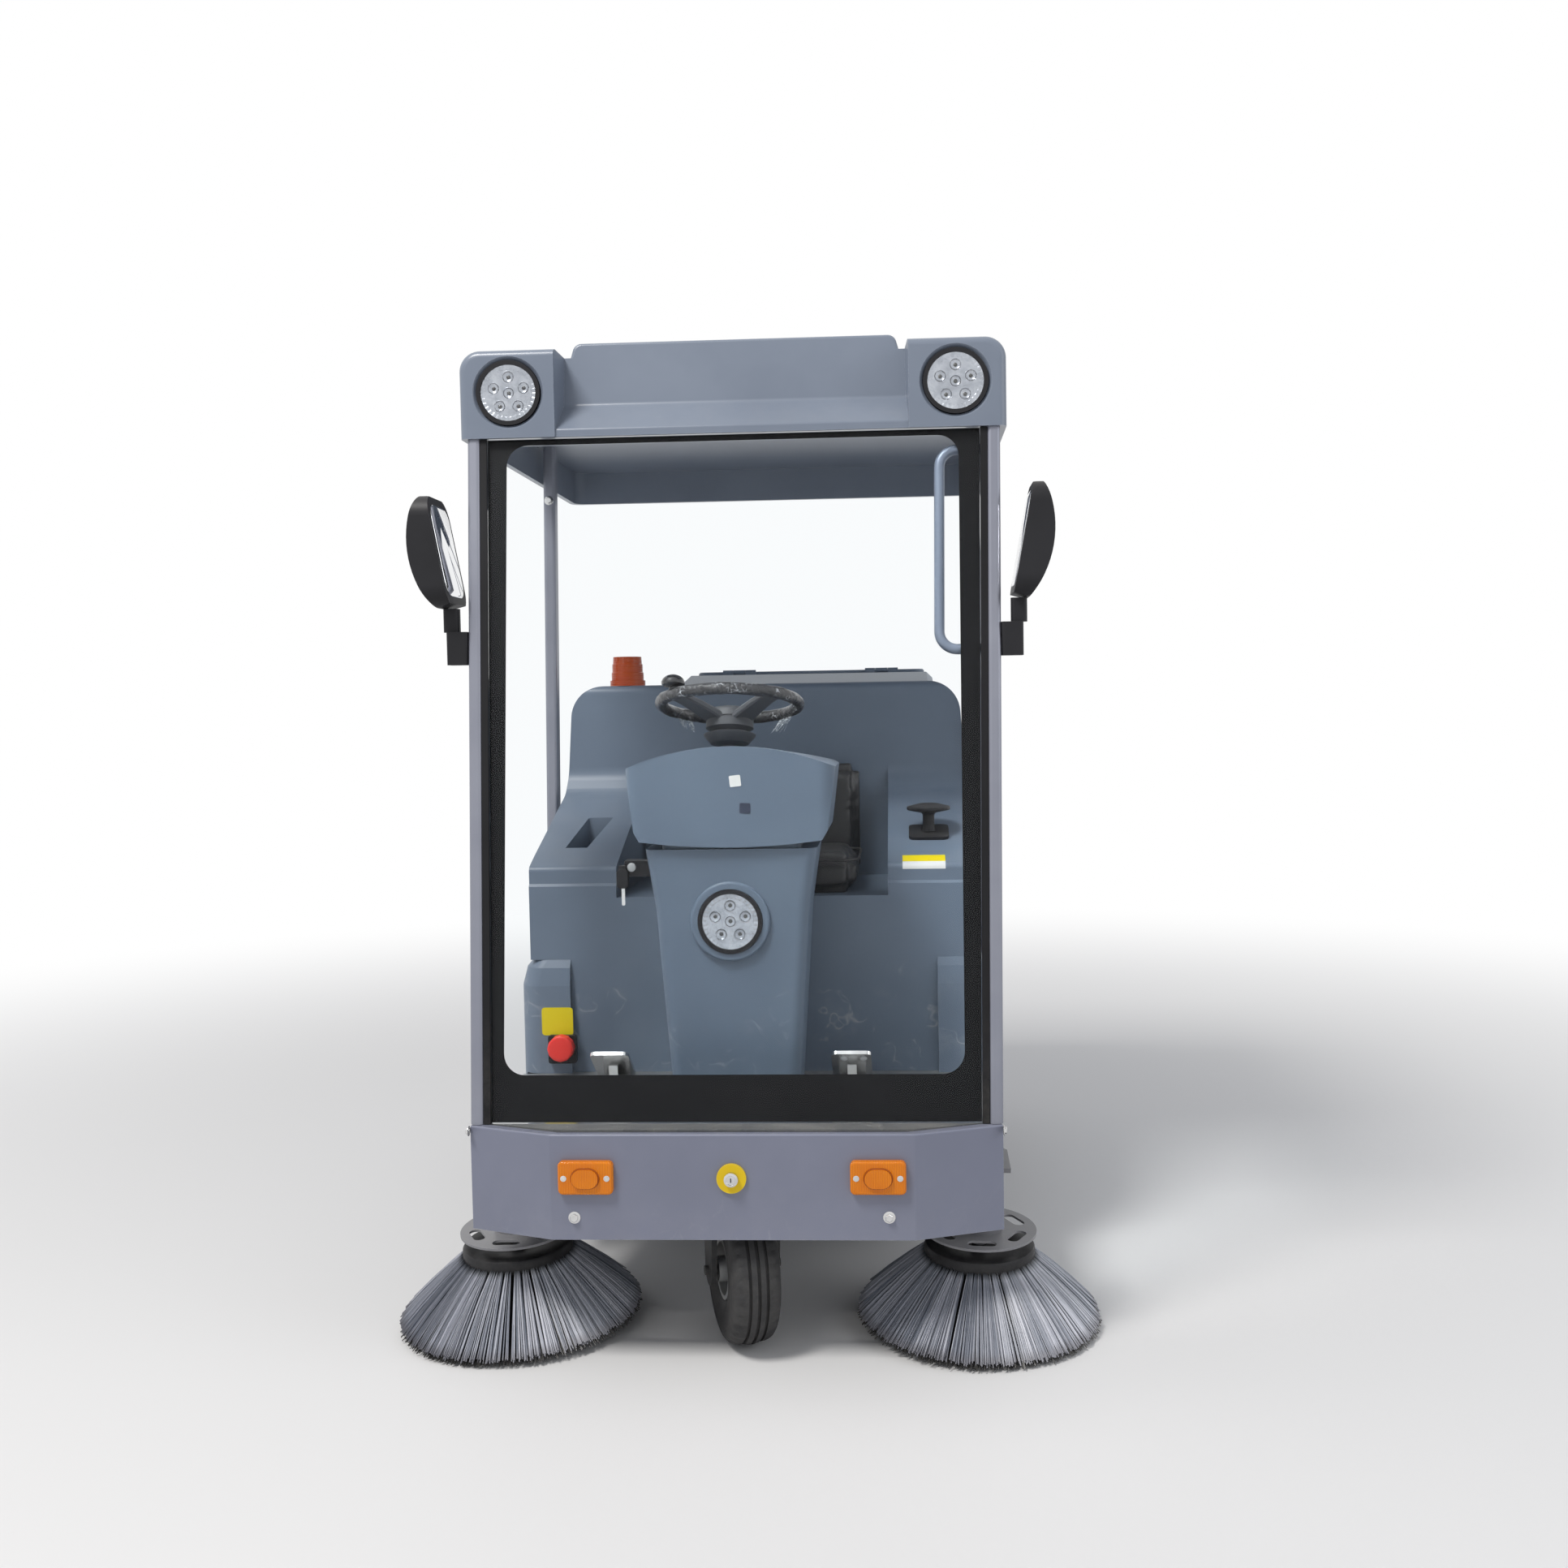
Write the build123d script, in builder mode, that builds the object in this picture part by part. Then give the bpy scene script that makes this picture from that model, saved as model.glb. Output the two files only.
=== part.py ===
from build123d import *
import math
import os

os.makedirs("parts", exist_ok=True)

# Compact ride-on road sweeper with a canopy cab, three wheels, two side brushes and a roller.
# Millimetres. +Z up, the front of the machine looks along -Y, +X is the machine's left.
# The origin is on the ground below the middle of the whole machine.

# Driving dimensions: front, sides and floor
front_y = -1010.0            # front face of the bumper
rear_y = 1030.0              # rear face of the rear bumper
cab_half = 549.0             # half the width of the machine at the bumper
floor_top = 493.0
floor_thick = 5.0
floor_inset = 4.0            # bumper end to floor edge, sideways
floor_front_gap = 12.0       # bumper sheet to floor plate
seat_wall_back = 510.0       # front wall of the seat base, behind the bumper face

# Bumper apron, a folded sheet
bumper_flat_half = 369.0
bumper_sweep = 65.0
bumper_bottom = 276.0
bumper_top = 492.0
bumper_sheet = 5.0
bumper_lip = 20.0
bumper_bend = 9.0

# Chassis of square tube
rail_x = 300.0
rail_size = 50.0
cross_depth = 60.0
outrigger_over = 6.0         # outrigger beyond the rear post

# Cab posts and windscreen
post_width = 28.0
post_depth = 45.0
post_round = 9.0
post_outset = 1.0            # post foot beyond the bumper end
post_spread = 21.0           # how much further out the head stands than the foot
post_foot_back = 90.0        # middle of the post, behind the bumper face
post_head_back = 288.0
glass_thick = 5.0
glass_forward = 12.0         # glass in front of the middle of the post
seal_width = 14.0
seal_depth = 16.0
seat_gap = 0.3               # clearance between pieces that only lie together

# Roof
roof_bottom = 1932.0
roof_front_back = 260.0      # roof front, behind the bumper face
roof_length = 1115.0
roof_half = 585.0
pod_top = 2121.0
roof_fall = 75.0             # how much the top falls to the rear
roof_corner = 45.0
roof_nose = 16.0             # rounding of the front face
pod_inner_half = 379.0
crown_top = 2150.0
crown_half = 350.0
crown_slant = 19.0           # crown foot beyond its top, sideways
crown_share = 0.93           # length of the crown as a share of the roof behind the ledge
lip_set = 4.0                # lip between the pods, behind their faces
lip_top = 1948.0
ledge_depth = 72.0
ledge_top = 2010.0
trough_depth = 88.0
roof_side = 14.0             # wall of the canopy beside the ceiling
ceiling = 2020.0
ceiling_front = 115.0        # start of the ceiling behind the roof front
lamp_x = 478.0
lamp_z = 2028.0
lamp_radius = 69.0
lamp_depth = 45.0
lamp_ring = 7.0              # moulded bevel round a lamp
lamp_gap = 1.0               # lamp to its mouth, along the radius
lamp_stub = 6.0              # boss behind a lamp that rests on the roof

# Rear posts beside the body
rear_post_out = 17.0         # middle of the foot beyond the bumper end
rear_post_lean = 25.0        # how much further in the head stands
rear_post_width = 30.0
rear_post_depth = 40.0
rear_post_back = 920.0
post_play = 2.0              # rear post to its channel in the body

# Moulded body
body_wall = 10.0
fender_outset = 1.0          # fenders beyond the bumper end
fender_forward = 15.0        # fender front before the seat wall
fender_inner = 430.0         # inner side of the front fenders
lower_bottom = 300.0
lower_top = 760.0
shoulder_drop = 60.0
upper_inset = 25.0           # upper body inside the fenders
body_length = 1475.0         # fender front to rear face
seat_deck_top = 905.0
armrest_ledge = 933.0
armrest_front_top = 977.0
armrest_round = 15.0
slope_top = 1125.0
armrest_inner_half = 318.0
back_wall_back = 930.0
body_top = 1405.0
body_corner = 85.0
rear_slope_run = 100.0
rear_slope_drop = 150.0
coaming_rise = 27.0
coaming_right = -240.0
coaming_left = 440.0

# Wheels
tyre_radius = 200.0
front_tyre_radius = 160.0
tyre_width = 105.0
tyre_round = 24.0
rim_share_depth = 96.0       # tread to rim, measured along the radius
groove_depth = 5.0
groove_width = 6.0
groove_step = 18.0
crown_rise = 5.0             # middle of the tread beyond its edges
rim_lip = 9.0
hub_wall = 16.0
axle_radius = 10.0
running_gap = 0.1
front_wheel_back = 165.0
steer_rest = 19.0
rear_wheel_back = 1570.0
rear_wheel_x = 464.0
arch_radius = 235.0

# Side brushes
brush_x = 508.0
brush_back = 260.0
brush_radius = 268.0
brush_hub_radius = 120.0
brush_hub_thick = 32.0
brush_top = 181.0
brush_drop = 163.0
brush_tilt_front = 3.0
brush_tilt_side = 1.5
tuft_count = 42
disc_radius = 122.0
disc_rise = 26.0             # guard disc above the hub
motor_rise = 174.0           # motor plate above the hub
arm_pivot_back = 470.0
arm_pivot_x = 395.0
arm_pin_radius = 10.0
arm_tube_length = 100.0

# Roller brush and hopper
roller_back = 1050.0
roller_radius = 148.0
roller_core = 78.0
roller_half = 318.0
roller_strips = 16
hopper_back = 1240.0
hopper_length = 745.0
hopper_half = 262.0
hopper_bottom = 110.0
hopper_wall = 6.0
runner_lip_z = 400.0

# Steering column, console and steering wheel
console_x = -12.0
dash_bottom = 1052.0
dash_front_back = 198.0
column_face_set = 22.0       # column face behind the dash front, at its lamp
wheel_x = -27.0
wheel_back = 380.0
wheel_z = 1354.0
wheel_tilt = 13.0            # the front edge of the steering wheel stands high
wheel_radius = 153.0
wheel_tube = 14.0
shaft_radius = 18.0
shaft_length = 190.0

# Seat
seat_half = 262.0
cushion_thick = 97.0
seat_back_top = 1212.0

floor_half = cab_half - floor_inset
post_foot_half = cab_half + post_outset
lower_half = cab_half + fender_outset
upper_half = lower_half - upper_inset
rear_post_x = cab_half + rear_post_out


def at_back(distance):
    """Y of a place that lies this far behind the bumper face."""
    return front_y + distance


rail_top = floor_top - floor_thick
rail_bottom = rail_top - rail_size
rail_z = rail_top - rail_size / 2

# Bumper apron: one sheet with its two ends folded back and a lip along the top
bumper_points = [
    (-cab_half, at_back(bumper_sweep)),
    (-bumper_flat_half, front_y),
    (bumper_flat_half, front_y),
    (cab_half, at_back(bumper_sweep)),
]
with BuildPart() as bumper:
    for bottom, top, reach in (
        (bumper_bottom, bumper_top, bumper_sheet),
        (bumper_top - bumper_sheet, bumper_top, bumper_lip),
    ):
        with BuildSketch(Plane.XY.offset(bottom)):
            with BuildLine():
                FilletPolyline(*bumper_points, radius=bumper_bend)
                offset(amount=reach, side=Side.LEFT)
            make_face()
        extrude(amount=top - bottom)
    outer_top = [
        edge for edge in bumper.faces().sort_by(Axis.Z)[-1].edges()
        if edge.center().Y < at_back(bumper_sweep / 2 + 2) and edge.length > 1
    ]
    fillet(outer_top, bumper_sheet - 1)
bumper.part.label = "bumper_apron"
export_step(bumper.part, "parts/bumper_apron.step")

# Chassis: two rails, cross members, outriggers for the rear posts and the rear bumper
front_cross_back = 120.0
head_cross_depth = 120.0
kingpin_radius = 25.0
runner_thick = 6.0
runner_reach = 26.0
runner_length = 700.0
runner_middle_back = 1610.0
runner_inset = 2.0
rear_beam_depth = 52.0
rear_beam_half = 450.0
rear_beam_height = 70.0
bracket_x = 225.0
bracket_drop = 20.0
arm_pin_reach = 160.0
hitch_spacing = 120.0
hitch_hole_radius = 6.5
rail_front = at_back(front_cross_back - cross_depth / 2)
rail_rear = rear_y - rear_beam_depth
rail_length = rail_rear - rail_front
outrigger_half = rear_post_x + rear_post_width / 2 + outrigger_over
bracket_length = front_cross_back - cross_depth / 2 - bumper_sheet
with BuildPart() as chassis:
    rail_middle = (rail_front + rail_rear) / 2
    with Locations((-rail_x, rail_middle, rail_z), (rail_x, rail_middle, rail_z)):
        Box(rail_size, rail_length, rail_size)
    cross_table = [
        # middle behind the bumper face, half width, depth, height
        (front_cross_back, floor_half, cross_depth, rail_size),
        (front_wheel_back, rail_x, head_cross_depth, rail_size),
        (rear_post_back, outrigger_half, rail_size, rail_size),
        (rail_rear - rail_size / 2 - front_y, rail_x, rail_size, rail_size),
        (rear_y - rear_beam_depth / 2 - front_y, rear_beam_half, rear_beam_depth, rear_beam_height),
    ]
    for back, half, depth, height in cross_table:
        with Locations((0, at_back(back), rail_z)):
            Box(2 * half, depth, height)
    bracket_y = front_y + bumper_sheet + bracket_length / 2
    bracket_z = rail_z - bracket_drop / 2
    with Locations((-bracket_x, bracket_y, bracket_z), (bracket_x, bracket_y, bracket_z)):
        Box(cross_depth, bracket_length, rail_size - bracket_drop)
    for side in (-1, 1):
        web_x = side * (rail_x - runner_thick / 2 - runner_inset)
        with Locations((web_x, at_back(runner_middle_back), (runner_lip_z + rail_bottom) / 2)):
            Box(runner_thick, runner_length, rail_bottom - runner_lip_z)
        lip_x = side * (rail_x - runner_inset - runner_reach / 2)
        with Locations((lip_x, at_back(runner_middle_back), runner_lip_z + runner_thick / 2)):
            Box(runner_reach, runner_length, runner_thick)
        with BuildSketch(Plane(origin=(side * rail_x, at_back(arm_pivot_back), rail_z), z_dir=(side, 0, 0))):
            Circle(arm_pin_radius)
        extrude(amount=arm_pin_reach)
    with Locations((0, at_back(front_wheel_back), rail_z)):
        Cylinder(kingpin_radius + running_gap, rail_size, mode=Mode.SUBTRACT)
    with Locations(Plane(origin=(0, rear_y, rail_z), x_dir=(1, 0, 0), z_dir=(0, 1, 0))):
        with GridLocations(hitch_spacing, 0, 2, 1):
            Hole(hitch_hole_radius, depth=rear_beam_depth)
    rear_corners = [
        edge for edge in chassis.edges().filter_by(Axis.Z)
        if edge.center().Y > rear_y - 1 and abs(edge.center().X) > rail_x
    ]
    fillet(rear_corners, 20)
chassis.part.label = "chassis_frame"
export_step(chassis.part, "parts/chassis_frame.step")

# Floor plate of the cab, notched round the front fenders
tongue_depth = 30.0
with BuildPart() as floor_plate:
    floor_corner = front_y + bumper_sweep + bumper_lip + 4
    floor_rear = at_back(seat_wall_back) - seat_gap
    notch_y = floor_rear - fender_forward
    notch_x = fender_inner - seat_gap
    with BuildSketch(Plane.XY.offset(rail_top)):
        with BuildLine():
            Polyline(
                (-floor_half, notch_y),
                (-floor_half, floor_corner),
                (-bumper_flat_half, front_y + bumper_lip + floor_front_gap),
                (bumper_flat_half, front_y + bumper_lip + floor_front_gap),
                (floor_half, floor_corner),
                (floor_half, notch_y),
                (notch_x, notch_y),
                (notch_x, floor_rear + tongue_depth),
                (-notch_x, floor_rear + tongue_depth),
                (-notch_x, notch_y),
                close=True,
            )
        make_face()
    extrude(amount=floor_thick)
floor_plate.part.label = "floor_plate"
export_step(floor_plate.part, "parts/floor_plate.step")

# Front posts, sheared so that both ends are level
post_lean = (post_spread, post_head_back - post_foot_back, roof_bottom - floor_top)


def leaning_bar(width, depth, corner, foot, head):
    """A bar with level ends from the middle of its foot to the middle of its head."""
    run = Vector(*head) - Vector(*foot)
    with BuildPart() as bar:
        with BuildSketch(Plane.XY.offset(foot[2])):
            with Locations((foot[0], foot[1])):
                if corner > 0:
                    RectangleRounded(width, depth, corner)
                else:
                    Rectangle(width, depth)
        extrude(amount=run.length, dir=run.normalized())
    return bar.part


def beside_post(inset, forward, height, side):
    """A place at a height that keeps its distance from the outer face and the middle of a front post."""
    share = (height - floor_top) / post_lean[2]
    x = side * (post_foot_half - inset + post_lean[0] * share)
    return (x, at_back(post_foot_back) - forward + post_lean[1] * share, height)


def post_y(height):
    """Y of the middle of a front post at a height."""
    return beside_post(0, 0, height, 1)[1]


def post_inner_x(height):
    """Distance of the inner face of a front post from the middle of the cab."""
    return beside_post(post_width, 0, height, 1)[0]


posts = Compound([
    leaning_bar(post_width, post_depth, post_round,
                beside_post(post_width / 2, 0, floor_top, side),
                beside_post(post_width / 2, 0, roof_bottom, side))
    for side in (-1, 1)
])
posts.label = "front_posts"
export_step(posts, "parts/front_posts.step")

# Rubber seals between posts and glass
seal_inset = post_width + seal_width / 2
seals = Compound([
    leaning_bar(seal_width, seal_depth, 0,
                beside_post(seal_inset, glass_forward, floor_top + seat_gap, side),
                beside_post(seal_inset, glass_forward, roof_bottom - seat_gap, side))
    for side in (-1, 1)
])
seals.label = "windscreen_seals"
export_step(seals, "parts/windscreen_seals.step")

# Windscreen: one flat pane from floor to roof
with BuildPart() as windscreen:
    for height in (floor_top + seat_gap, roof_bottom - seat_gap):
        with BuildSketch(Plane.XY.offset(height)):
            with Locations((0, post_y(height) - glass_forward)):
                Rectangle(2 * (post_inner_x(height) - seal_width), glass_thick)
    loft()
windscreen.part.label = "windscreen"
export_step(windscreen.part, "parts/windscreen.step")

# Roof: a moulded canopy with two lamp pods, a raised crown and a trough between the pods
roof_front = at_back(roof_front_back)
roof_rear = roof_front + roof_length
roof_fall_run = Vector(0, roof_length, -roof_fall)
crown_extra_fall = 4.0
crown_run = Vector(0, roof_length - ledge_depth, -(roof_fall + crown_top - pod_top + crown_extra_fall))
crown_foot = 40.0            # how deep the crown starts inside the roof
roof_tail_round = 30.0
with BuildPart() as trough:
    with BuildSketch(Plane.YZ.offset(-pod_inner_half)):
        with BuildLine():
            FilletPolyline(
                (roof_front - 5, roof_bottom - 5),
                (roof_front + lip_set, roof_bottom - 5),
                (roof_front + lip_set, lip_top),
                (roof_front + ledge_depth, ledge_top),
                (roof_front + trough_depth, crown_top + 10),
                (roof_front - 5, crown_top + 10),
                radius=[0, 0, 8, 14, 0, 0],
                close=True,
            )
        make_face()
    extrude(amount=2 * pod_inner_half)
    with BuildSketch(Plane.XY.offset(roof_bottom - 5)):
        with BuildLine():
            Polyline(
                (-pod_inner_half, roof_front - 5),
                (pod_inner_half, roof_front - 5),
                (pod_inner_half - 8, roof_front + trough_depth + 5),
                (-pod_inner_half + 8, roof_front + trough_depth + 5),
                close=True,
            )
        make_face()
    extrude(amount=crown_top - roof_bottom + 20, mode=Mode.INTERSECT)

with BuildPart() as roof:
    with BuildSketch(Plane.XZ.offset(-roof_front)):
        with BuildLine():
            FilletPolyline(
                (-roof_half, roof_bottom - 5),
                (-roof_half, pod_top),
                (roof_half, pod_top),
                (roof_half, roof_bottom - 5),
                radius=[0, roof_corner, roof_corner, 0],
                close=True,
            )
        make_face()
    extrude(amount=roof_fall_run.length, dir=roof_fall_run.normalized())
    with Locations((0, roof_front + roof_length / 2, roof_bottom - 100)):
        Box(2 * roof_half + 20, roof_length + 20, 200, mode=Mode.SUBTRACT)
    front_face = roof.faces().sort_by(Axis.Y)[0]
    nose_edges = [edge for edge in front_face.edges() if edge.center().Z > roof_bottom + 1]
    fillet(nose_edges, roof_nose)
    rear_face = roof.faces().sort_by(Axis.Y)[-1]
    tail_edges = [edge for edge in rear_face.edges() if edge.center().Z > roof_bottom + 1]
    fillet(tail_edges, roof_tail_round)
    with BuildSketch(Plane.XZ.offset(-(roof_front + ledge_depth))):
        with BuildLine():
            FilletPolyline(
                (-crown_half - crown_slant, pod_top - crown_foot),
                (-crown_half, crown_top),
                (crown_half, crown_top),
                (crown_half + crown_slant, pod_top - crown_foot),
                radius=[0, 20, 20, 0],
                close=True,
            )
        make_face()
    extrude(amount=crown_run.length * crown_share, dir=crown_run.normalized())
    add(trough.part, mode=Mode.SUBTRACT)
    brow = roof.edges().filter_by(Axis.X).sort_by(Axis.Z)[-1]
    fillet(brow, 7)
    for side in (-1, 1):
        with BuildSketch(Plane(origin=(side * lamp_x, roof_front, lamp_z), z_dir=(0, -1, 0))):
            Circle(lamp_radius + lamp_gap)
        extrude(amount=-(lamp_depth + lamp_stub), mode=Mode.SUBTRACT)
    lamp_mouths = [
        edge for edge in roof.edges().filter_by(GeomType.CIRCLE)
        if abs(edge.center().Y - roof_front) < 0.1 and abs(edge.radius - lamp_radius - lamp_gap) < 0.1
    ]
    chamfer(lamp_mouths, lamp_ring)
    with BuildSketch(Plane.XY.offset(roof_bottom)):
        hollow_front = roof_front + ceiling_front
        hollow_rear = roof_rear - roof_side
        with Locations((0, (hollow_front + hollow_rear) / 2)):
            RectangleRounded(2 * (roof_half - roof_side), hollow_rear - hollow_front, 30)
    extrude(amount=ceiling - roof_bottom, mode=Mode.SUBTRACT)
roof.part.label = "roof_canopy"
export_step(roof.part, "parts/roof_canopy.step")

# Console column with a moulded ring for its lamp
dash_front = at_back(dash_front_back)
column_top = dash_bottom - 6
column_rows = [
    # height, half width, front face behind the dash front, depth
    (floor_top + seat_gap, 138.0, column_face_set + 18, 150.0),
    (914.0, 166.0, column_face_set, 185.0),
    (column_top, 185.0, column_face_set - 8, 215.0),
]
column_x = console_x - 2
console_lamp_x = -17.0
console_lamp_z = 890.5
console_ring = 86.0
console_ring_round = 6.0
console_proud = 8.0          # ring in front of the column face
console_seat = 12.0          # depth of the lamp's seat behind the column face
console_lamp_out = 12.0      # front of the lamp before the column face
column_face = dash_front + column_face_set
with BuildPart() as column:
    for height, half_width, set_back, depth in column_rows:
        with BuildSketch(Plane.XY.offset(height)):
            with Locations((column_x, dash_front + set_back + depth / 2)):
                RectangleRounded(2 * half_width, depth, 26)
    loft(ruled=True)
    with BuildSketch(Plane(origin=(console_lamp_x, column_face + 10, console_lamp_z), z_dir=(0, -1, 0))):
        Circle(console_ring)
    extrude(amount=10 + console_proud)
    fillet(column.faces().sort_by(Axis.Y)[0].edges(), console_ring_round)
    lamp_mouth = (console_lamp_x, column_face - console_proud, console_lamp_z)
    with BuildSketch(Plane(origin=lamp_mouth, z_dir=(0, -1, 0))):
        Circle(lamp_radius + lamp_gap)
    extrude(amount=-(console_seat + console_proud), mode=Mode.SUBTRACT)
column.part.label = "console_column"
export_step(column.part, "parts/console_column.step")

# Dash shroud: its front outline met by a rounded plan, on a neck that sits on the column
shroud_depth = 250.0
shroud_outline = [
    # half width, height
    (195.0, 1064.0),
    (207.0, 1084.0),
    (225.0, 1219.0),
]
arch_top = 1265.0
seam_sag = 1051.0
neck_width = 300.0
neck_depth = 170.0
neck_height = 30.0
steering_plane = Plane(
    origin=(wheel_x, at_back(wheel_back), wheel_z),
    x_dir=(1, 0, 0),
    z_dir=(0, math.sin(math.radians(wheel_tilt)), math.cos(math.radians(wheel_tilt))),
)
with BuildPart() as shroud:
    with BuildSketch(Plane.XZ.offset(-dash_front)):
        with BuildLine():
            left_side = [(console_x + half, height) for half, height in shroud_outline]
            right_side = [(console_x - half, height) for half, height in shroud_outline]
            Polyline(*left_side)
            ThreePointArc(left_side[-1], (console_x, arch_top), right_side[-1])
            Polyline(*right_side)
            ThreePointArc(right_side[0], (console_x, seam_sag), left_side[0])
        make_face()
    extrude(amount=-shroud_depth)
    with BuildSketch(Plane.XY.offset(seam_sag - 20)):
        with Locations((console_x, dash_front + shroud_depth / 2)):
            RectangleRounded(2 * shroud_outline[-1][0], shroud_depth, 34)
    extrude(amount=arch_top - seam_sag + 40, mode=Mode.INTERSECT)
    with BuildSketch(Plane.YZ.offset(console_x - 300)):
        with BuildLine():
            Polyline(
                (dash_front - 5, arch_top + 5),
                (dash_front + 14, arch_top + 5),
                (dash_front + 30, arch_top - 12),
                (dash_front + shroud_depth + 5, arch_top - 42),
                (dash_front + shroud_depth + 5, seam_sag - 10),
                (dash_front - 5, seam_sag - 10),
                close=True,
            )
        make_face()
    extrude(amount=600, mode=Mode.INTERSECT)
    with BuildSketch(Plane.XY.offset(column_top)):
        with Locations((column_x, dash_front + column_face_set + neck_depth / 2 + 5)):
            RectangleRounded(neck_width, neck_depth, 20)
    extrude(amount=neck_height)
    with BuildSketch(steering_plane.offset(-40)):
        Circle(shaft_radius + running_gap)
    extrude(amount=-shaft_length, mode=Mode.SUBTRACT)
shroud.part.label = "dash_shroud"
export_step(shroud.part, "parts/dash_shroud.step")

# Steering wheel: rim, two front spokes in a V, one rear spoke, hub with pad and collar, knob and shaft
wheel_right = steering_plane.x_dir
wheel_ahead = steering_plane.y_dir
steering_flat = Plane(origin=steering_plane.origin, x_dir=wheel_right, z_dir=wheel_ahead * -1)
steering_axis = Axis(steering_plane.origin, steering_plane.z_dir)
hub_radius = 49.0
knob_radius = 26.0
knob_height = 28.0
knob_angle = -137.0
spoke_table = [
    # turn in degrees from +X, width at the hub, width at the rim
    (-42.0, 56.0, 30.0),
    (-138.0, 56.0, 30.0),
    (90.0, 50.0, 34.0),
]
with BuildPart() as steering_wheel:
    with BuildSketch(steering_flat):
        with Locations((wheel_radius, 0)):
            RectangleRounded(2 * wheel_tube, 2 * wheel_tube, wheel_tube - 2)
    revolve(axis=steering_axis)
    with BuildSketch(steering_flat):
        with BuildLine():
            FilletPolyline(
                (0, -8),
                (hub_radius - 6, -12),
                (hub_radius, -58),
                (hub_radius - 12, -66),
                (59, -70),
                (42, -92),
                (shaft_radius, -96),
                (shaft_radius, -shaft_length),
                (0, -shaft_length),
                radius=[0, 14, 4, 2, 2, 4, 0, 0, 0],
                close=True,
            )
        make_face()
    revolve(axis=steering_axis)
    for turn, hub_width, rim_width in spoke_table:
        reach = wheel_right * math.cos(math.radians(turn)) + wheel_ahead * math.sin(math.radians(turn))
        start = steering_plane.origin + reach * 30 - steering_plane.z_dir * 40
        end = steering_plane.origin + reach * (wheel_radius - 3)
        across = steering_plane.z_dir.cross(reach)
        for place, width, thick in ((start, hub_width, 20.0), (end, rim_width, 12.0)):
            with BuildSketch(Plane(origin=place, x_dir=across, z_dir=end - start)):
                RectangleRounded(width, thick, 4)
        loft(ruled=True)
    knob_turn = math.radians(knob_angle)
    knob_reach = wheel_right * math.cos(knob_turn) + wheel_ahead * math.sin(knob_turn)
    knob_place = steering_plane.origin + knob_reach * wheel_radius
    with BuildSketch(Plane(origin=knob_place, x_dir=steering_flat.x_dir, z_dir=steering_flat.z_dir)):
        with BuildLine():
            FilletPolyline(
                (0, wheel_tube - 4),
                (knob_radius / 3, wheel_tube - 4),
                (knob_radius / 3, wheel_tube + 2),
                (knob_radius, wheel_tube + 2),
                (knob_radius, wheel_tube + 2 + knob_height),
                (0, wheel_tube + 2 + knob_height),
                radius=[0, 0, 0, 11, 13, 0],
                close=True,
            )
        make_face()
    revolve(axis=Axis(knob_place, steering_plane.z_dir))
steering_wheel.part.label = "steering_wheel"
export_step(steering_wheel.part, "parts/steering_wheel.step")

# Lower body: a hollow moulding open below, with fender corners, a shoulder and wheel arches
seat_wall = at_back(seat_wall_back)
lower_front = seat_wall - fender_forward
lower_rear = lower_front + body_length
lower_mid = (lower_front + lower_rear) / 2
body_rows = [
    # height, inside the fenders, corner radius
    (lower_bottom, 0.0, 45.0),
    (lower_top - shoulder_drop, 0.0, 45.0),
    (lower_top - 0.3 * shoulder_drop, 0.4, 45.0),
    (lower_top, 1.0, 40.0),
]
with BuildPart() as lower_body:
    for wall, mode in ((0.0, Mode.ADD), (body_wall, Mode.SUBTRACT)):
        for height, share, corner in body_rows:
            with BuildSketch(Plane.XY.offset(height)):
                half = lower_half - share * upper_inset - wall
                front = lower_front + share * fender_forward + wall
                rear = lower_rear - share * upper_inset / 2 - wall
                with Locations((0, (front + rear) / 2)):
                    RectangleRounded(2 * half, rear - front, corner - wall)
        loft(ruled=True, mode=mode)
    with BuildSketch(Plane.YZ.offset(-lower_half - 5)):
        with Locations((at_back(rear_wheel_back), tyre_radius)):
            Circle(arch_radius)
        with Locations((at_back(rear_post_back), (lower_bottom + floor_top) / 2)):
            Rectangle(rail_size + 10, floor_top - lower_bottom + 2)
    extrude(amount=2 * lower_half + 10, mode=Mode.SUBTRACT)
    with Locations((0, seat_wall, (lower_bottom + floor_top + seat_gap) / 2)):
        Box(2 * (lower_half - body_wall), 80, floor_top + seat_gap - lower_bottom, mode=Mode.SUBTRACT)
    with Locations((0, seat_wall, (floor_top + lower_top) / 2)):
        Box(2 * fender_inner, 80, lower_top - floor_top + 40, mode=Mode.SUBTRACT)
    with Locations((0, lower_rear, (lower_bottom + floor_top) / 2)):
        Box(2 * rail_x + 70, 80, floor_top - lower_bottom + 4, mode=Mode.SUBTRACT)
    for side in (-1, 1):
        post_foot = (side * rear_post_x, at_back(rear_post_back), rail_top - 10)
        post_head = (side * (rear_post_x - rear_post_lean), at_back(rear_post_back), ceiling)
        channel_width = rear_post_width + 2 * post_play
        channel_depth = rear_post_depth + 2 * post_play
        channel = leaning_bar(channel_width, channel_depth, 8, post_foot, post_head)
        add(channel, mode=Mode.SUBTRACT)
lower_body.part.label = "lower_body"
export_step(lower_body.part, "parts/lower_body.step")

# Upper body: seat base, armrests and the tall rear box in one moulding, open below
upper_rear = lower_rear - upper_inset / 2
back_wall = at_back(back_wall_back)
upper_base = lower_top + seat_gap
slope_foot = seat_wall + 5
slope_head = back_wall - 35
slope_rise = (slope_top - armrest_front_top) / (slope_head - slope_foot)


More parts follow.
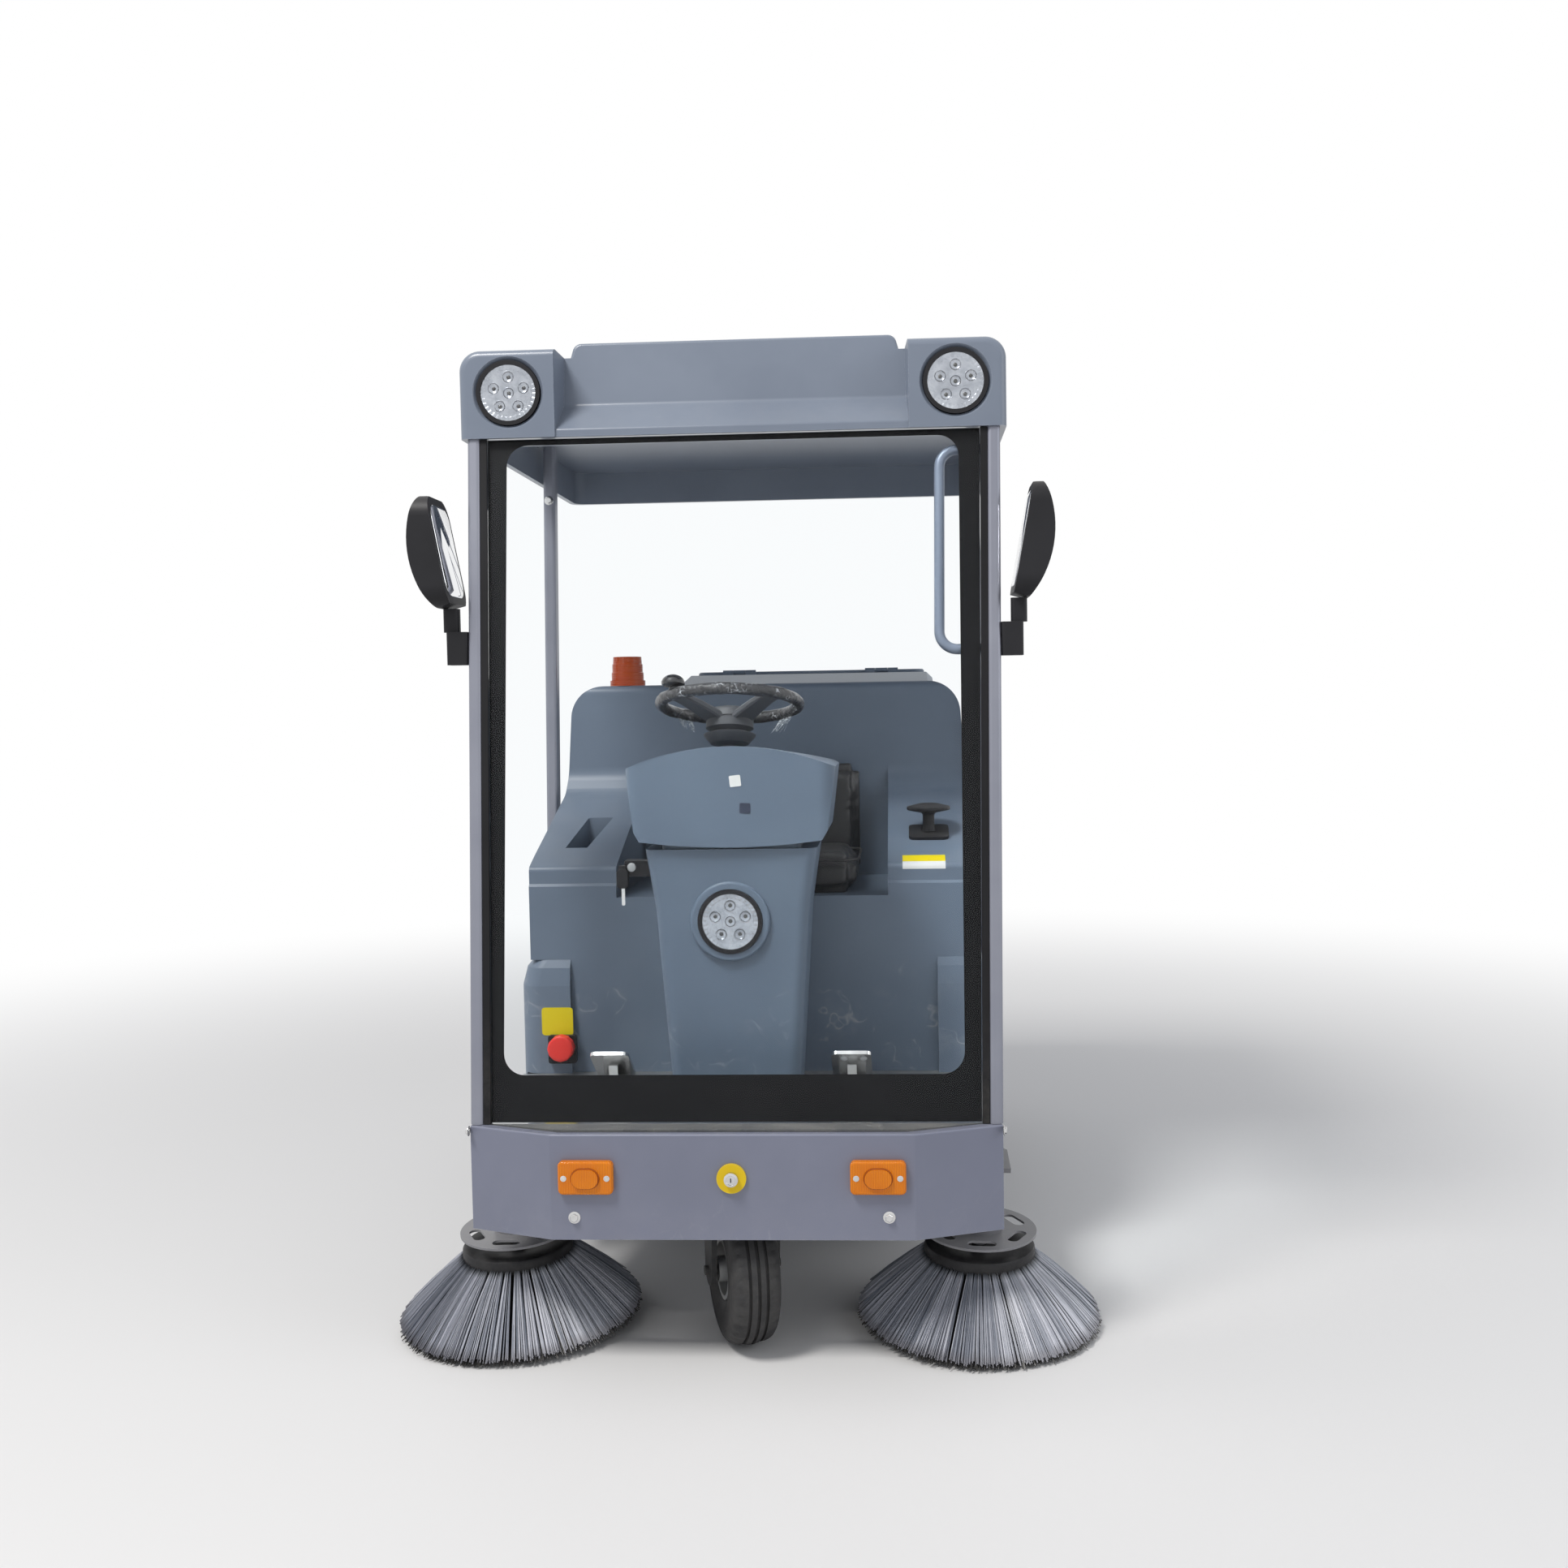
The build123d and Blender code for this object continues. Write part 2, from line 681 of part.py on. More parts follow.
def body_side(inset):
    """Side outline of the upper body, drawn smaller by the wall."""
    base = upper_base - 0.5 * inset
    return [
        (seat_wall + inset, base),
        (seat_wall + inset, armrest_ledge),
        (slope_foot + inset, armrest_ledge + 6),
        (slope_foot + inset, armrest_front_top - inset),
        (slope_head + 0.4 * inset, slope_top - inset),
        (back_wall + inset, slope_top + 50 - inset),
        (back_wall + inset, body_top - inset),
        (upper_rear - rear_slope_run - 0.5 * inset, body_top - inset),
        (upper_rear - inset, body_top - rear_slope_drop - 0.5 * inset),
        (upper_rear - inset, base),
    ]


side_radii = [0, 0, 0, armrest_round, 60, 60, 22, 40, 40, 0]
front_radii = [0, 0, 60, body_corner, body_corner, 60, 0, 0]


def body_front(inset):
    """Front outline of the upper body, drawn smaller by the wall."""
    right_side = [
        (-upper_half + inset, upper_base - 6),
        (-upper_half + inset, 1000.0),
        (-upper_half + 9 + inset, 1175.0),
        (-upper_half + 24 + inset, body_top - inset),
    ]
    return right_side + [(-x, z) for x, z in reversed(right_side)]


pocket_plan = [(-458, -400), (-405, -400), (-370, -245), (-431, -245)]
pocket_floor = 950.0
pocket_wall = 7.0
deck_depth = back_wall - seat_wall
body_blocks = []
for inset in (0.0, body_wall):
    with BuildPart() as block:
        with BuildSketch(Plane.YZ.offset(-upper_half - 10)):
            with BuildLine():
                FilletPolyline(*body_side(inset), radius=side_radii, close=True)
            make_face()
        extrude(amount=2 * upper_half + 20)
        with BuildSketch(Plane.XZ.offset(-(seat_wall - 10))):
            with BuildLine():
                FilletPolyline(*body_front(inset), radius=front_radii, close=True)
            make_face()
        extrude(amount=-(upper_rear - seat_wall + 20), mode=Mode.INTERSECT)
        with BuildSketch(Plane.XY.offset(seat_deck_top - inset)):
            with Locations((0, seat_wall + deck_depth / 2 - 20)):
                Rectangle(2 * (armrest_inner_half + inset), deck_depth + 40 + 2 * inset)
        extrude(amount=body_top, mode=Mode.SUBTRACT)
        if inset > 0:
            with BuildSketch(Plane.XY.offset(pocket_floor - pocket_wall)):
                with BuildLine():
                    Polyline(*pocket_plan, close=True)
                make_face()
                offset(amount=pocket_wall, kind=Kind.INTERSECTION)
            extrude(amount=body_top, mode=Mode.SUBTRACT)
    body_blocks.append(block.part)

lid_front_back = 1285.0
lid_length = 555.0
lid_half = 320.0
lid_x = (coaming_right + coaming_left) / 2
lid_thick = 10.0
lid_border = 22.0
lid_y = at_back(lid_front_back) + lid_length / 2
coaming_top = body_top + coaming_rise
slot_count = 7
slot_pitch = 26.0
knuckle_radius = 7.0
knuckle_width = 34.0
knuckle_step = 32.0
hinge_pin_radius = 3.0
knuckle_z = coaming_top + 8
knuckle_y = at_back(lid_front_back) - 8
knuckle_places = (lid_x - 200, lid_x + 200)
with BuildPart() as upper_body:
    add(body_blocks[0])
    with BuildSketch(Plane.YZ.offset(coaming_right)):
        with BuildLine():
            Polyline(
                (back_wall + 25, body_top - 5),
                (at_back(lid_front_back) - 100, coaming_top),
                (at_back(lid_front_back) + lid_length + 12, coaming_top),
                (at_back(lid_front_back) + lid_length + 32, body_top - 5),
                close=True,
            )
        make_face()
    extrude(amount=coaming_left - coaming_right)
    coaming_half = (coaming_left - coaming_right) / 2
    coaming_sides = [
        edge for edge in upper_body.edges()
        if edge.center().Z > body_top + 1 and edge.length > 100
        and abs(abs(edge.center().X - lid_x) - coaming_half) < 0.1
    ]
    chamfer(coaming_sides, 16)
    add(body_blocks[1], mode=Mode.SUBTRACT)
    with Locations((lid_x, lid_y, coaming_top)):
        Box(2 * (lid_half - lid_border), lid_length - 2 * lid_border, 120, mode=Mode.SUBTRACT)
    with BuildSketch(Plane.XY.offset(pocket_floor)):
        with BuildLine():
            Polyline(*pocket_plan, close=True)
        make_face()
    extrude(amount=400, mode=Mode.SUBTRACT)
    with BuildSketch(Plane(origin=(0, upper_rear + 5, 980), x_dir=(1, 0, 0), z_dir=(0, 1, 0))):
        with GridLocations(300, slot_pitch, 2, slot_count):
            SlotOverall(220, 10)
    extrude(amount=-25, mode=Mode.SUBTRACT)
    with Locations((0, seat_wall + body_wall / 2, (floor_top + seat_gap + upper_base + 20) / 2)):
        Box(2 * (fender_inner - seat_gap), body_wall, upper_base + 20 - floor_top - seat_gap)
    for knuckle_x in knuckle_places:
        for step in (-knuckle_step, knuckle_step):
            with BuildSketch(Plane(origin=(knuckle_x + step - 14, knuckle_y, knuckle_z), z_dir=(1, 0, 0))):
                Circle(knuckle_radius)
            extrude(amount=28)
            with Locations((knuckle_x + step, knuckle_y - 4, coaming_top + 3.5)):
                Box(28, 12, 8)
        with BuildSketch(Plane(origin=(knuckle_x - 40, knuckle_y, knuckle_z), z_dir=(1, 0, 0))):
            Circle(hinge_pin_radius)
        extrude(amount=80)
upper_body.part.label = "upper_body"
export_step(upper_body.part, "parts/upper_body.step")

# Lid on the rear box, hinged at its front edge, with a lip for the hand at its rear
with BuildPart() as rear_lid:
    with BuildSketch(Plane.XY.offset(coaming_top + seat_gap)):
        with Locations((lid_x, lid_y)):
            RectangleRounded(2 * lid_half, lid_length, 30)
    extrude(amount=lid_thick)
    chamfer(rear_lid.faces().sort_by(Axis.Z)[-1].edges(), 4)
    for knuckle_x in knuckle_places:
        knuckle_plane = Plane(origin=(knuckle_x - knuckle_width / 2, knuckle_y, knuckle_z), z_dir=(1, 0, 0))
        with BuildSketch(knuckle_plane):
            Circle(knuckle_radius)
        extrude(amount=knuckle_width)
        with Locations((knuckle_x, knuckle_y + 12, coaming_top + lid_thick / 2 + 1.5)):
            Box(knuckle_width, 18, 7)
        with BuildSketch(knuckle_plane):
            Circle(hinge_pin_radius + running_gap)
        extrude(amount=knuckle_width, mode=Mode.SUBTRACT)
rear_lid.part.label = "rear_lid"
export_step(rear_lid.part, "parts/rear_lid.step")

# Seat: cushion and raked back
cushion_front = seat_wall + 18
cushion_depth = 310.0
with BuildPart() as seat_cushion:
    with BuildSketch(Plane.XY.offset(seat_deck_top + seat_gap)):
        with Locations((0, cushion_front + cushion_depth / 2)):
            RectangleRounded(2 * seat_half, cushion_depth, 50)
    extrude(amount=cushion_thick)
    fillet(seat_cushion.faces().sort_by(Axis.Z)[-1].edges(), 28)
seat_cushion.part.label = "seat_cushion"
export_step(seat_cushion.part, "parts/seat_cushion.step")

back_foot = cushion_front + cushion_depth + seat_gap + 1
with BuildPart() as seat_back:
    with BuildSketch(Plane.YZ.offset(-seat_half)):
        with BuildLine():
            FilletPolyline(
                (back_foot, seat_deck_top + seat_gap),
                (back_wall - seat_gap, seat_deck_top + seat_gap),
                (back_wall - seat_gap, seat_back_top),
                (back_wall - 55, seat_back_top),
                radius=[0, 0, 14, 26],
                close=True,
            )
        make_face()
    extrude(amount=2 * seat_half)
    with BuildSketch(Plane.XZ.offset(-(back_foot - 5))):
        with BuildLine():
            FilletPolyline(
                (-seat_half, seat_deck_top),
                (-seat_half, seat_back_top),
                (seat_half, seat_back_top),
                (seat_half, seat_deck_top),
                radius=[0, 40, 40, 0],
                close=True,
            )
        make_face()
    extrude(amount=-(back_wall - back_foot + 10), mode=Mode.INTERSECT)
seat_back.part.label = "seat_back"
export_step(seat_back.part, "parts/seat_back.step")

# Rear posts beside the body, leaning in under the canopy
rear_posts = Compound([
    leaning_bar(rear_post_width, rear_post_depth, 8,
                (side * rear_post_x, at_back(rear_post_back), rail_top),
                (side * (rear_post_x - rear_post_lean), at_back(rear_post_back), ceiling))
    for side in (-1, 1)
])
rear_posts.label = "rear_posts"
export_step(rear_posts, "parts/rear_posts.step")

# Grab handle on the left front post, inside the cab
handle_radius = 11.0
handle_top = 1888.0
handle_low = 1462.0
handle_stand = 100.0
handle_forward = -11.5
handle_path_table = [
    # height, reach from the post
    (handle_top, seat_gap),
    (handle_top, handle_stand),
    (handle_low, handle_stand),
    (handle_low, seat_gap),
]
handle_points = [
    beside_post(post_width + reach, handle_forward, height, 1) for height, reach in handle_path_table
]
with BuildPart() as grab_handle:
    with BuildLine() as handle_path:
        FilletPolyline(*handle_points, radius=38)
    with BuildSketch(Plane(origin=handle_path.line @ 0, z_dir=handle_path.line % 0)):
        Circle(handle_radius)
    sweep(path=handle_path.line)
grab_handle.part.label = "grab_handle"
export_step(grab_handle.part, "parts/grab_handle.step")

# Mirrors: a clamp block with a neck on each post, and a lens-shaped head folded back
mirror_z = 1482.0
mirror_block_half = 35.0
mirror_block_width = 46.0
mirror_neck = 50.0
head_height = 236.0
head_depth = 150.0
head_outline = [
    # beyond the post's outer face, above the neck
    (24.0, 9.0),
    (57.0, -1.5),
    (108.0, 0.58 * head_height),
    (86.0, head_height + 2),
    (66.0, head_height - 2),
]
arm_pieces = []
head_pieces = []
for side in (-1, 1):
    block_ends = (mirror_z - mirror_block_half, mirror_z + mirror_block_half)
    block_in = max(post_inner_x(end) for end in block_ends) + post_width + seat_gap
    head_foot = mirror_z + mirror_block_half + mirror_neck + seat_gap
    with BuildPart() as mirror_arm:
        with BuildSketch(Plane.XY.offset(mirror_z - mirror_block_half)):
            with Locations((side * (block_in + mirror_block_width / 2), post_y(mirror_z))):
                RectangleRounded(mirror_block_width, 44, 6)
        extrude(amount=2 * mirror_block_half)
        with BuildSketch(Plane.XY.offset(mirror_z + mirror_block_half)):
            with Locations((side * (block_in + 38), post_y(mirror_z))):
                RectangleRounded(34, 24, 8)
        extrude(amount=mirror_neck)
    arm_pieces.append(mirror_arm.part)
    with BuildPart() as mirror_head:
        outline = [(side * (block_in + reach), head_foot + rise) for reach, rise in head_outline]
        with BuildSketch(Plane.XZ.offset(-(post_y(mirror_z) - head_depth / 2 - 10))):
            with BuildLine():
                Line(outline[0], outline[1])
                ThreePointArc(outline[1], outline[2], outline[3])
                Line(outline[3], outline[4])
                Line(outline[4], outline[0])
            make_face()
        extrude(amount=-(head_depth + 20))
        with BuildSketch(Plane.YZ.offset(side * block_in)):
            with Locations((post_y(mirror_z), head_foot + head_height / 2)):
                RectangleRounded(head_depth, head_height, 44)
        extrude(amount=side * 150, mode=Mode.INTERSECT)
    head_pieces.append(mirror_head.part)
mirror_arms = Compound(arm_pieces)
mirror_arms.label = "mirror_arms"
export_step(mirror_arms, "parts/mirror_arms.step")
mirror_heads = Compound(head_pieces)
mirror_heads.label = "mirror_heads"
export_step(mirror_heads, "parts/mirror_heads.step")

# Round work lamps: a black can with a rim and a lens of six reflectors set back in it
lens_back = 8.0
rim_wall = 9.0
reflector_radius = 11.0
reflector_ring = 34.0
work_lamps = []
console_lamp_depth = console_lamp_out + console_seat - seat_gap
lamp_table = [
    # x, y of the front face, z, depth, stub behind
    (-lamp_x, roof_front, lamp_z, lamp_depth, lamp_stub),
    (lamp_x, roof_front, lamp_z, lamp_depth, lamp_stub),
    (console_lamp_x, column_face - console_lamp_out, console_lamp_z, console_lamp_depth, 0.0),
]
for place_x, place_y, place_z, depth, stub in lamp_table:
    lamp_plane = Plane(origin=(place_x, place_y, place_z), x_dir=(1, 0, 0), z_dir=(0, -1, 0))
    with BuildPart() as lamp:
        with BuildSketch(lamp_plane):
            Circle(lamp_radius)
        extrude(amount=-depth)
        with BuildSketch(lamp_plane):
            Circle(lamp_radius - rim_wall)
        extrude(amount=-lens_back, mode=Mode.SUBTRACT)
        with BuildSketch(lamp_plane.offset(-lens_back)):
            Circle(reflector_radius)
            with PolarLocations(reflector_ring, 5, start_angle=90):
                Circle(reflector_radius)
        extrude(amount=-5, mode=Mode.SUBTRACT)
        if stub > 0:
            with BuildSketch(lamp_plane.offset(-depth - stub)):
                Circle(12)
            extrude(amount=stub)
    work_lamps.append(lamp.part)
work_lamps = Compound(work_lamps)
work_lamps.label = "work_lamps"
export_step(work_lamps, "parts/work_lamps.step")

# Amber markers: a base plate with an oval lens boss
marker_x = 295.0
marker_z = 406.0
marker_width = 112.0
marker_height = 68.0
marker_base = 14.0
marker_boss = 20.0           # front of the oval boss before the bumper
marker_pieces = []
for side in (-1, 1):
    marker_plane = Plane(origin=(side * marker_x, front_y, marker_z), x_dir=(1, 0, 0), z_dir=(0, -1, 0))
    with BuildPart() as marker:
        with BuildSketch(marker_plane):
            RectangleRounded(marker_width, marker_height, 10)
        extrude(amount=marker_base)
        fillet(marker.faces().sort_by(Axis.Y)[0].edges(), 5)
        with BuildSketch(marker_plane.offset(marker_base - 2)):
            SlotOverall(54, 38)
        extrude(amount=marker_boss - marker_base + 2)
    marker_pieces.append(marker.part)
marker_lights = Compound(marker_pieces)
marker_lights.label = "marker_lights"
export_step(marker_lights, "parts/marker_lights.step")

lock_z = 403.0
lock_ring_radius = 30.0
lock_ring_thick = 6.0
lock_radius = 14.0
with BuildPart() as bumper_lock:
    with BuildSketch(Plane(origin=(0, front_y, lock_z), z_dir=(0, -1, 0))):
        Circle(lock_ring_radius)
    extrude(amount=lock_ring_thick)
    with BuildSketch(Plane(origin=(0, front_y - lock_ring_thick, lock_z), z_dir=(0, -1, 0))):
        Circle(lock_radius)
    extrude(amount=9)
bumper_lock.part.label = "bumper_lock"
export_step(bumper_lock.part, "parts/bumper_lock.step")

tail_inset = 110.0
tail_z = 600.0
tail_width = 90.0
tail_height = 150.0
tail_pieces = []
for side in (-1, 1):
    tail_x = side * (lower_half - tail_inset)
    tail_plane = Plane(origin=(tail_x, lower_rear, tail_z), x_dir=(1, 0, 0), z_dir=(0, 1, 0))
    with BuildPart() as tail:
        with BuildSketch(tail_plane):
            RectangleRounded(tail_width, tail_height, 14)
        extrude(amount=24)
        fillet(tail.faces().sort_by(Axis.Y)[-1].edges(), 8)
    tail_pieces.append(tail.part)
tail_lights = Compound(tail_pieces)
tail_lights.label = "tail_lights"
export_step(tail_lights, "parts/tail_lights.step")

# Beacon on the rear box: a base and a ribbed lens
beacon_x = -366.0
beacon_y = back_wall + 60
beacon_rows = [
    # height above the body, radius
    (0.0, 46.0),
    (14.0, 46.0),
    (14.0, 42.0),
    (34.0, 42.0),
    (36.0, 40.0),
    (56.0, 40.0),
    (58.0, 38.0),
    (76.0, 37.0),
]
with BuildPart() as beacon:
    with BuildSketch(Plane.XZ.offset(-beacon_y)):
        with BuildLine():
            outer = [(beacon_x + radius, body_top + height) for height, radius in beacon_rows]
            Polyline((beacon_x, body_top), *outer, (beacon_x, body_top + beacon_rows[-1][0]), close=True)
        make_face()
    revolve(axis=Axis((beacon_x, beacon_y, 0), (0, 0, 1)))
beacon.part.label = "beacon"
export_step(beacon.part, "parts/beacon.step")

# Small controls: battery switch on the right fender, key switch on the column, lever on the left armrest
switch_x = -449.0
switch_z = 553.0
switch_base = 66.0
switch_base_thick = 14.0
switch_knob_radius = 28.0
key_z = 1000.0
key_width = 56.0
key_share = (key_z - 17 - column_rows[1][0]) / (column_rows[2][0] - column_rows[1][0])
key_column_half = column_rows[1][1] + key_share * (column_rows[2][1] - column_rows[1][1])
switch_pieces = []
with BuildPart() as battery_switch:
    with BuildSketch(Plane(origin=(switch_x, lower_front, switch_z), x_dir=(1, 0, 0), z_dir=(0, -1, 0))):
        RectangleRounded(switch_base, switch_base, 6)
    extrude(amount=switch_base_thick)
    knob_origin = (switch_x, lower_front - switch_base_thick, switch_z + 6)
    with BuildSketch(Plane(origin=knob_origin, x_dir=(1, 0, 0), z_dir=(0, -1, 0))):
        Circle(switch_knob_radius)
    extrude(amount=22)
    fillet(battery_switch.faces().sort_by(Axis.Y)[0].edges(), 7)
switch_pieces.append(battery_switch.part)
with BuildPart() as key_switch:
    with Locations((column_x - key_column_half - 6 - key_width / 2, dash_front + 90, key_z)):
        Box(key_width, 40, 34)
switch_pieces.append(key_switch.part)
switches = Compound(switch_pieces)
switches.label = "switches"
export_step(switches, "parts/switches.step")

lever_x = 416.0
lever_y = -350.0
lever_seat = armrest_front_top + (lever_y - slope_foot) * slope_rise + seat_gap
slope_plane = Plane(origin=(lever_x, lever_y, lever_seat), x_dir=(1, 0, 0), z_dir=(0, -slope_rise, 1))
with BuildPart() as control_lever:
    with BuildSketch(slope_plane):
        RectangleRounded(96, 70, 14)
    extrude(amount=8)
    with BuildSketch(Plane.XZ.offset(-lever_y)):
        with BuildLine():
            FilletPolyline(
                (lever_x, lever_seat + 7),
                (lever_x + 16, lever_seat + 7),
                (lever_x + 14, lever_seat + 24),
                (lever_x + 14, lever_seat + 50),
                (lever_x + 52, lever_seat + 58),
                (lever_x + 52, lever_seat + 66),
                (lever_x + 20, lever_seat + 74),
                (lever_x, lever_seat + 74),
                radius=[0, 0, 4, 8, 3, 3, 6, 0],
                close=True,
            )
        make_face()
    revolve(axis=Axis((lever_x, lever_y, 0), (0, 0, 1)))
control_lever.part.label = "control_lever"
export_step(control_lever.part, "parts/control_lever.step")

pedal_table = [
    # x, width of the plate
    (-300.0, 86.0),
    (234.0, 88.0),
]
pedal_back = 330.0
pedal_pieces = []
for pedal_x, pedal_width in pedal_table:
    with BuildPart() as pedal:
        with Locations((pedal_x, at_back(pedal_back) + 30, floor_top + 10)):
            Box(60, 60, 20)
        plate_middle = (pedal_x, at_back(pedal_back), floor_top + 58)
        pedal_plane = Plane(origin=plate_middle, x_dir=(1, 0, 0), z_dir=(0, 0.6, 0.8))
        with BuildSketch(pedal_plane):
            RectangleRounded(pedal_width, 120, 12)
        extrude(amount=8)
        with BuildSketch(Plane.YZ.offset(pedal_x - 10)):
            with BuildLine():
                Polyline(
                    (at_back(pedal_back) + 10, floor_top + 15),
                    (at_back(pedal_back) + 50, floor_top + 15),
                    (at_back(pedal_back) + 34, floor_top + 36),
                    (at_back(pedal_back) - 2, floor_top + 63),
                    close=True,
                )
            make_face()
        extrude(amount=20)
    pedal_pieces.append(pedal.part)
pedals = Compound(pedal_pieces)
pedals.label = "pedals"
export_step(pedals, "parts/pedals.step")


# Wheels: a revolved tyre with grooves on a revolved rim, both about their own axle
def wheel_parts(wheel_plane, outer_radius, bore_radius, hub_half):
    """Tyre and rim; the plane's z is the axle and its origin the wheel's middle."""
    half = tyre_width / 2
    rim_radius = outer_radius - rim_share_depth
    axis_line = Axis(wheel_plane.origin, wheel_plane.z_dir)
    level_dir = wheel_plane.z_dir.cross(Vector(0, 0, 1))
    section = Plane(origin=wheel_plane.origin, x_dir=(0, 0, 1), z_dir=level_dir)
    with BuildPart() as tyre:
        with BuildSketch(section):
            with BuildLine():
                FilletPolyline(
                    (rim_radius, -half + 12),
                    (rim_radius + 22, -half),
                    (outer_radius - tyre_round, -half),
                    (outer_radius - crown_rise, -half + tyre_round),
                    (outer_radius, 0),
                    (outer_radius - crown_rise, half - tyre_round),
                    (outer_radius - tyre_round, half),
                    (rim_radius + 22, half),
                    (rim_radius, half - 12),
                    radius=[0, 8, 14, 14, 0, 14, 14, 8, 0],
                    close=True,
                )
            make_face()
            with Locations((outer_radius, -groove_step), (outer_radius, 0), (outer_radius, groove_step)):
                Rectangle(2 * groove_depth + 3, groove_width, mode=Mode.SUBTRACT)
        revolve(axis=axis_line)
    with BuildPart() as rim:
        with BuildSketch(section):
            with BuildLine():
                Polyline(
                    (bore_radius, -hub_half),
                    (bore_radius + hub_wall, -hub_half),
                    (bore_radius + hub_wall, -5),
                    (rim_radius - rim_lip, -5),
                    (rim_radius - rim_lip, -half + 8),
                    (rim_radius, -half + 8),
                    (rim_radius, half - 8),
                    (rim_radius - rim_lip, half - 8),
                    (rim_radius - rim_lip, 5),
                    (bore_radius + hub_wall, 5),
                    (bore_radius + hub_wall, hub_half),
                    (bore_radius, hub_half),
                    close=True,
                )
            make_face()
        revolve(axis=axis_line)
        hole_ring = (bore_radius + hub_wall + rim_radius - rim_lip) / 2
        hole_radius = (rim_radius - rim_lip - bore_radius - hub_wall) * 0.3
        with BuildSketch(wheel_plane.offset(-10)):
            with PolarLocations(hole_ring, 5):
                Circle(hole_radius)
        extrude(amount=20, mode=Mode.SUBTRACT)
    return tyre.part, rim.part


steer_turn = math.radians(steer_rest)
front_axle_dir = Vector(math.cos(steer_turn), math.sin(steer_turn), 0)
front_wheel_centre = Vector(0, at_back(front_wheel_back), front_tyre_radius)
front_plane = Plane(origin=front_wheel_centre, z_dir=front_axle_dir)
front_tyre, front_rim = wheel_parts(front_plane, front_tyre_radius, axle_radius + running_gap, 55)
front_tyre.label = "front_tyre"
export_step(front_tyre, "parts/front_tyre.step")
front_rim.label = "front_rim"
export_step(front_rim, "parts/front_rim.step")

# Steering fork with kingpin and axle
fork_inner = 62.0
fork_thick = 12.0
fork_width = 64.0
crown_bottom = front_tyre_radius * 2 + 8
crown_thick = 20.0
axle_end = 8.0
crown_plane = Plane(origin=(0, at_back(front_wheel_back), 0), x_dir=front_axle_dir, z_dir=(0, 0, 1))
with BuildPart() as fork:
    with BuildSketch(crown_plane.offset(crown_bottom)):
        RectangleRounded(2 * (fork_inner + fork_thick), 100, 10)
    extrude(amount=crown_thick)
    with BuildSketch(crown_plane.offset(crown_bottom + crown_thick)):
        Circle(kingpin_radius + 12)
    extrude(amount=rail_bottom - seat_gap - crown_bottom - crown_thick)
    with BuildSketch(crown_plane.offset(crown_bottom + crown_thick)):
        Circle(kingpin_radius)
    extrude(amount=rail_top - 4 - crown_bottom - crown_thick)
    for side in (-1, 1):
        leg_shift = side * (fork_inner + fork_thick / 2) - fork_thick / 2
        leg_plane = Plane(
            origin=front_wheel_centre + front_axle_dir * leg_shift,
            x_dir=front_axle_dir.cross(Vector(0, 0, 1)),
            z_dir=front_axle_dir,
        )
        leg_rise = crown_bottom - front_tyre_radius
        with BuildSketch(leg_plane):
            with BuildLine():
                outer_turn = leg_plane.y_dir.Z
                Polyline((-50, outer_turn * leg_rise), (-fork_width / 2, 0))
                ThreePointArc((-fork_width / 2, 0), (0, -outer_turn * fork_width / 2), (fork_width / 2, 0))
                Polyline((fork_width / 2, 0), (50, outer_turn * leg_rise), (-50, outer_turn * leg_rise))
            make_face()
        extrude(amount=fork_thick)
    with BuildSketch(front_plane.offset(-(fork_inner + fork_thick + axle_end))):
        Circle(axle_radius)
    extrude(amount=2 * (fork_inner + fork_thick + axle_end))
fork.part.label = "steering_fork"
export_step(fork.part, "parts/steering_fork.step")

# Rear stub axles on plates that hang from the rails
stub_radius = 18.0
stub_hub_half = 40.0
stub_plate = 12.0
rail_outer = rail_x + rail_size / 2
stub_pieces = []
for side, name in ((-1, "right"), (1, "left")):
    rear_centre = (side * rear_wheel_x, at_back(rear_wheel_back), tyre_radius)
    wheel_plane = Plane(origin=rear_centre, z_dir=(side, 0, 0))
    tyre, rim = wheel_parts(wheel_plane, tyre_radius, stub_radius + running_gap, stub_hub_half)
    tyre.label = "rear_tyre_" + name
    export_step(tyre, "parts/rear_tyre_" + name + ".step")
    rim.label = "rear_rim_" + name
    export_step(rim, "parts/rear_rim_" + name + ".step")
    boss_reach = rear_wheel_x - rail_outer - stub_plate
    with BuildPart() as stub:
        with BuildSketch(Plane.YZ.offset(side * rail_outer)):
            with BuildLine():
                axle_y = at_back(rear_wheel_back)
                Polyline(
                    (axle_y - 110, rail_top),
                    (axle_y + 110, rail_top),
                    (axle_y + 60, tyre_radius - 70),
                    (axle_y - 60, tyre_radius - 70),
                    close=True,
                )
            make_face()
        extrude(amount=side * stub_plate)
        with BuildSketch(wheel_plane.offset(-boss_reach)):
            Circle(45)
        extrude(amount=boss_reach - stub_hub_half - 6)
        with BuildSketch(wheel_plane.offset(-boss_reach)):
            Circle(stub_radius)
        extrude(amount=boss_reach + stub_hub_half + 6)
    stub_pieces.append(stub.part)
rear_axle = Compound(stub_pieces)
rear_axle.label = "rear_stub_axles"
export_step(rear_axle, "parts/rear_stub_axles.step")

